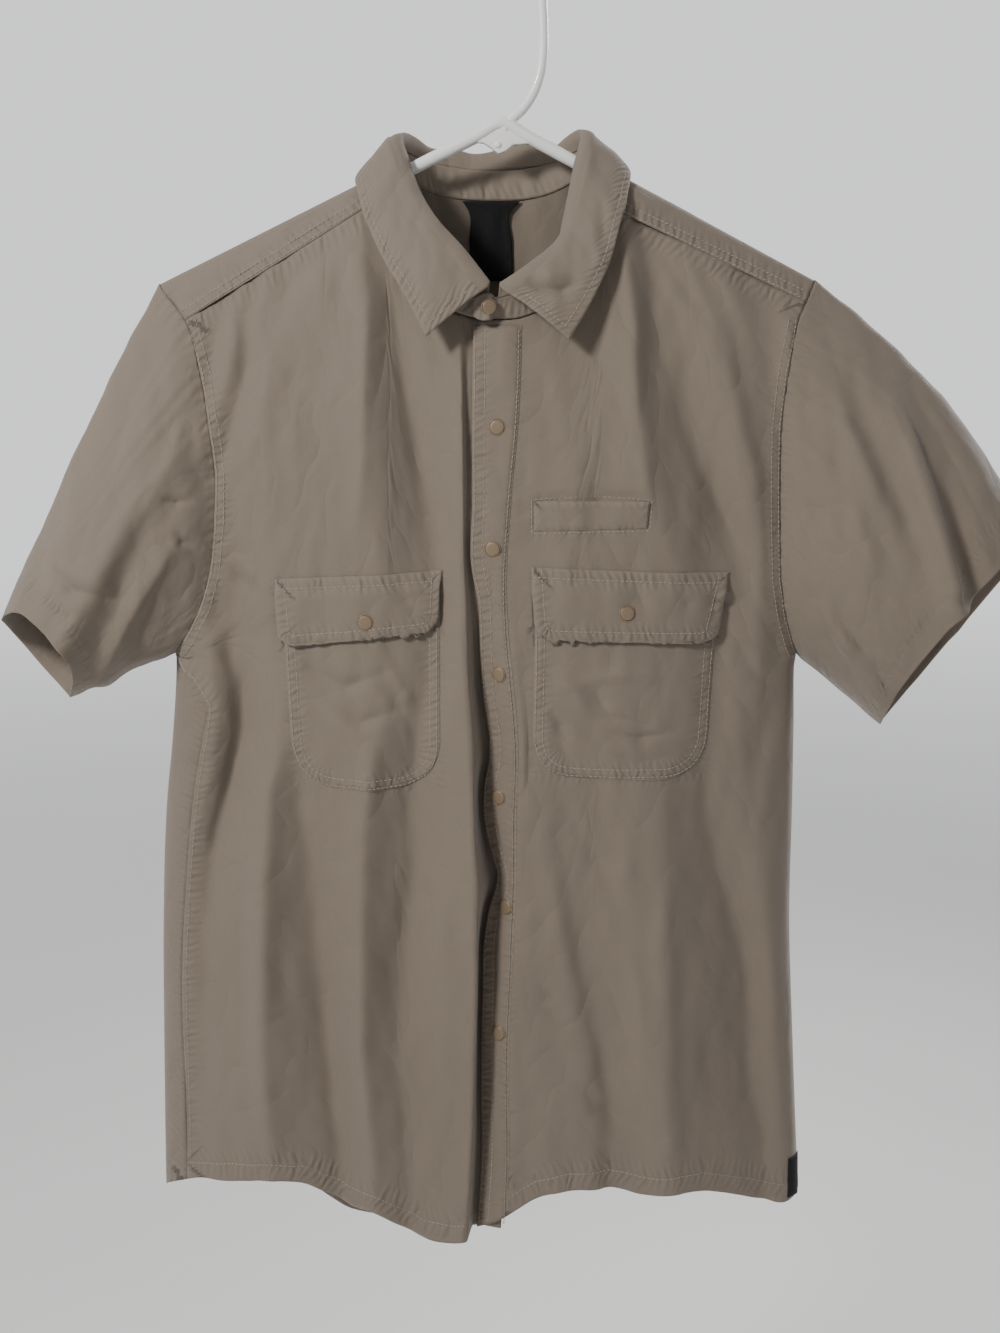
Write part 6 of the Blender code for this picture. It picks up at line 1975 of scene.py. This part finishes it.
def make_floor():
    """A pale floor that passes into the world's own light far away, so that no horizon shows."""
    data = bpy.data.meshes.new("studio_floor")
    wide, low = FLOOR_REACH, FLOOR_LEVEL
    data.from_pydata([(-wide, -wide, low), (wide, -wide, low), (wide, wide, low), (-wide, wide, low)],
                     [], [(0, 1, 2, 3)])
    floor = bpy.data.objects.new("studio_floor", data)
    bpy.context.scene.collection.objects.link(floor)
    made, tree, shader = nodes_of("studio_pale")
    place = add(tree, "ShaderNodeTexCoord").outputs["Object"]
    pale = mixed(tree, noise(tree, place, 1.5), (0.80, 0.80, 0.79), (0.84, 0.84, 0.83))
    tree.links.new(pale, shader.inputs["Base Color"])
    shader.inputs["Roughness"].default_value = 0.9
    level = add(tree, "ShaderNodeVectorMath", {1: (1, 1, 0)}, operation="MULTIPLY")
    flat = linked(tree, level, place)[0]
    far = linked(tree, add(tree, "ShaderNodeVectorMath", operation="LENGTH"), flat)["Value"]
    toward = linked(tree, add(tree, "ShaderNodeVectorMath", operation="NORMALIZE"), flat)[0]
    glow = add(tree, "ShaderNodeEmission", {0: (*WORLD_COLOUR, 1)})
    tree.links.new(world_ramp(tree, toward), glow.inputs[1])
    share = add(tree, "ShaderNodeMapRange", {"From Min": 1.5, "From Max": FLOOR_REACH * 0.9})
    share.interpolation_type = "SMOOTHSTEP"
    near_far = linked(tree, share, far)[0]
    blend = linked(tree, add(tree, "ShaderNodeMixShader"), near_far, shader.outputs[0], glow.outputs[0])
    tree.links.new(blend[0], tree.nodes["Material Output"].inputs[0])
    data.materials.append(made)


def make_world():
    world = bpy.data.worlds.new("studio")
    world.use_nodes = True
    tree = world.node_tree
    background = tree.nodes["Background"]
    background.inputs[0].default_value = (*WORLD_COLOUR, 1)
    way = add(tree, "ShaderNodeTexCoord").outputs["Generated"]
    tree.links.new(world_ramp(tree, way), background.inputs[1])
    bpy.context.scene.world = world


def make_lights():
    for name, at, target, power, size in LIGHTS:
        lamp = bpy.data.lights.new(name, "AREA")
        lamp.energy = power
        lamp.size = size
        lamp.color = LIGHT_COLOUR
        light = bpy.data.objects.new(name, lamp)
        bpy.context.scene.collection.objects.link(light)
        light.location = at
        way = Vector(target) - Vector(at)
        light.rotation_euler = way.to_track_quat("-Z", "Y").to_euler()


def make_camera():
    eye = bpy.data.cameras.new("photo_view")
    eye.lens = CAMERA_LENS
    eye.sensor_width = CAMERA_SENSOR
    camera = bpy.data.objects.new("photo_view", eye)
    bpy.context.scene.collection.objects.link(camera)
    camera.location = CAMERA_PLACE
    camera.rotation_euler = (math.radians(90 - CAMERA_DIP), 0, 0)
    bpy.context.scene.camera = camera


cloth = cloth_material("taupe_cloth", (0.142, 0.113, 0.088), (0.202, 0.164, 0.129), 0.75 * MM, 0.78, 0.22)
thread = cloth_material("beige_thread", (0.25, 0.21, 0.168), (0.33, 0.285, 0.23), 0.5 * MM, 0.6, 0.2)
tape = cloth_material("black_tape", (0.0035, 0.0035, 0.004), (0.007, 0.007, 0.0075), 0.5 * MM, 0.8, 0.0)
metal = hard_material("snap_bronze", (0.20, 0.145, 0.095), (0.27, 0.20, 0.135), 160, 0.45, 0.35, 0.10)
plastic = hard_material("white_plastic", (0.78, 0.78, 0.755), (0.86, 0.86, 0.84), 60, 0.32, 0.0, 0.05, 0.2)

stitches = Stitches()
right, left = make_fronts(cloth)
back = make_back(cloth)
yoke = make_yoke(cloth)
stitch_panels(stitches)
make_sleeves(right, left, back, yoke, cloth, stitches)
stand = make_stand(cloth)
make_collar(cloth, stitches)
make_pockets(cloth, stitches)
flaps = make_flaps(cloth, stitches)
make_welt(cloth, stitches)
placket = make_placket(cloth, stitches)
make_labels(tape)
stitches.made("topstitching", thread)
for number, centre in enumerate(FRONT_SNAPS, 1):
    snap_on("snap_front_%d" % number, centre, tree_of(placket if number > 1 else stand), metal)
for name, centre in POCKET_SNAPS.items():
    snap_on(name, centre, tree_of(flaps[name.replace("snap_pocket", "flap")]), metal)
make_hanger(plastic)
# Everything was drawn from the tables' datum. It moves down to the part's own origin
for thing in list(bpy.context.scene.objects):
    if "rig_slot" in thing:
        thing.data.transform(Matrix.Translation((0, 0, -HOOK_TOP)))
make_floor()
make_world()
make_lights()
make_camera()
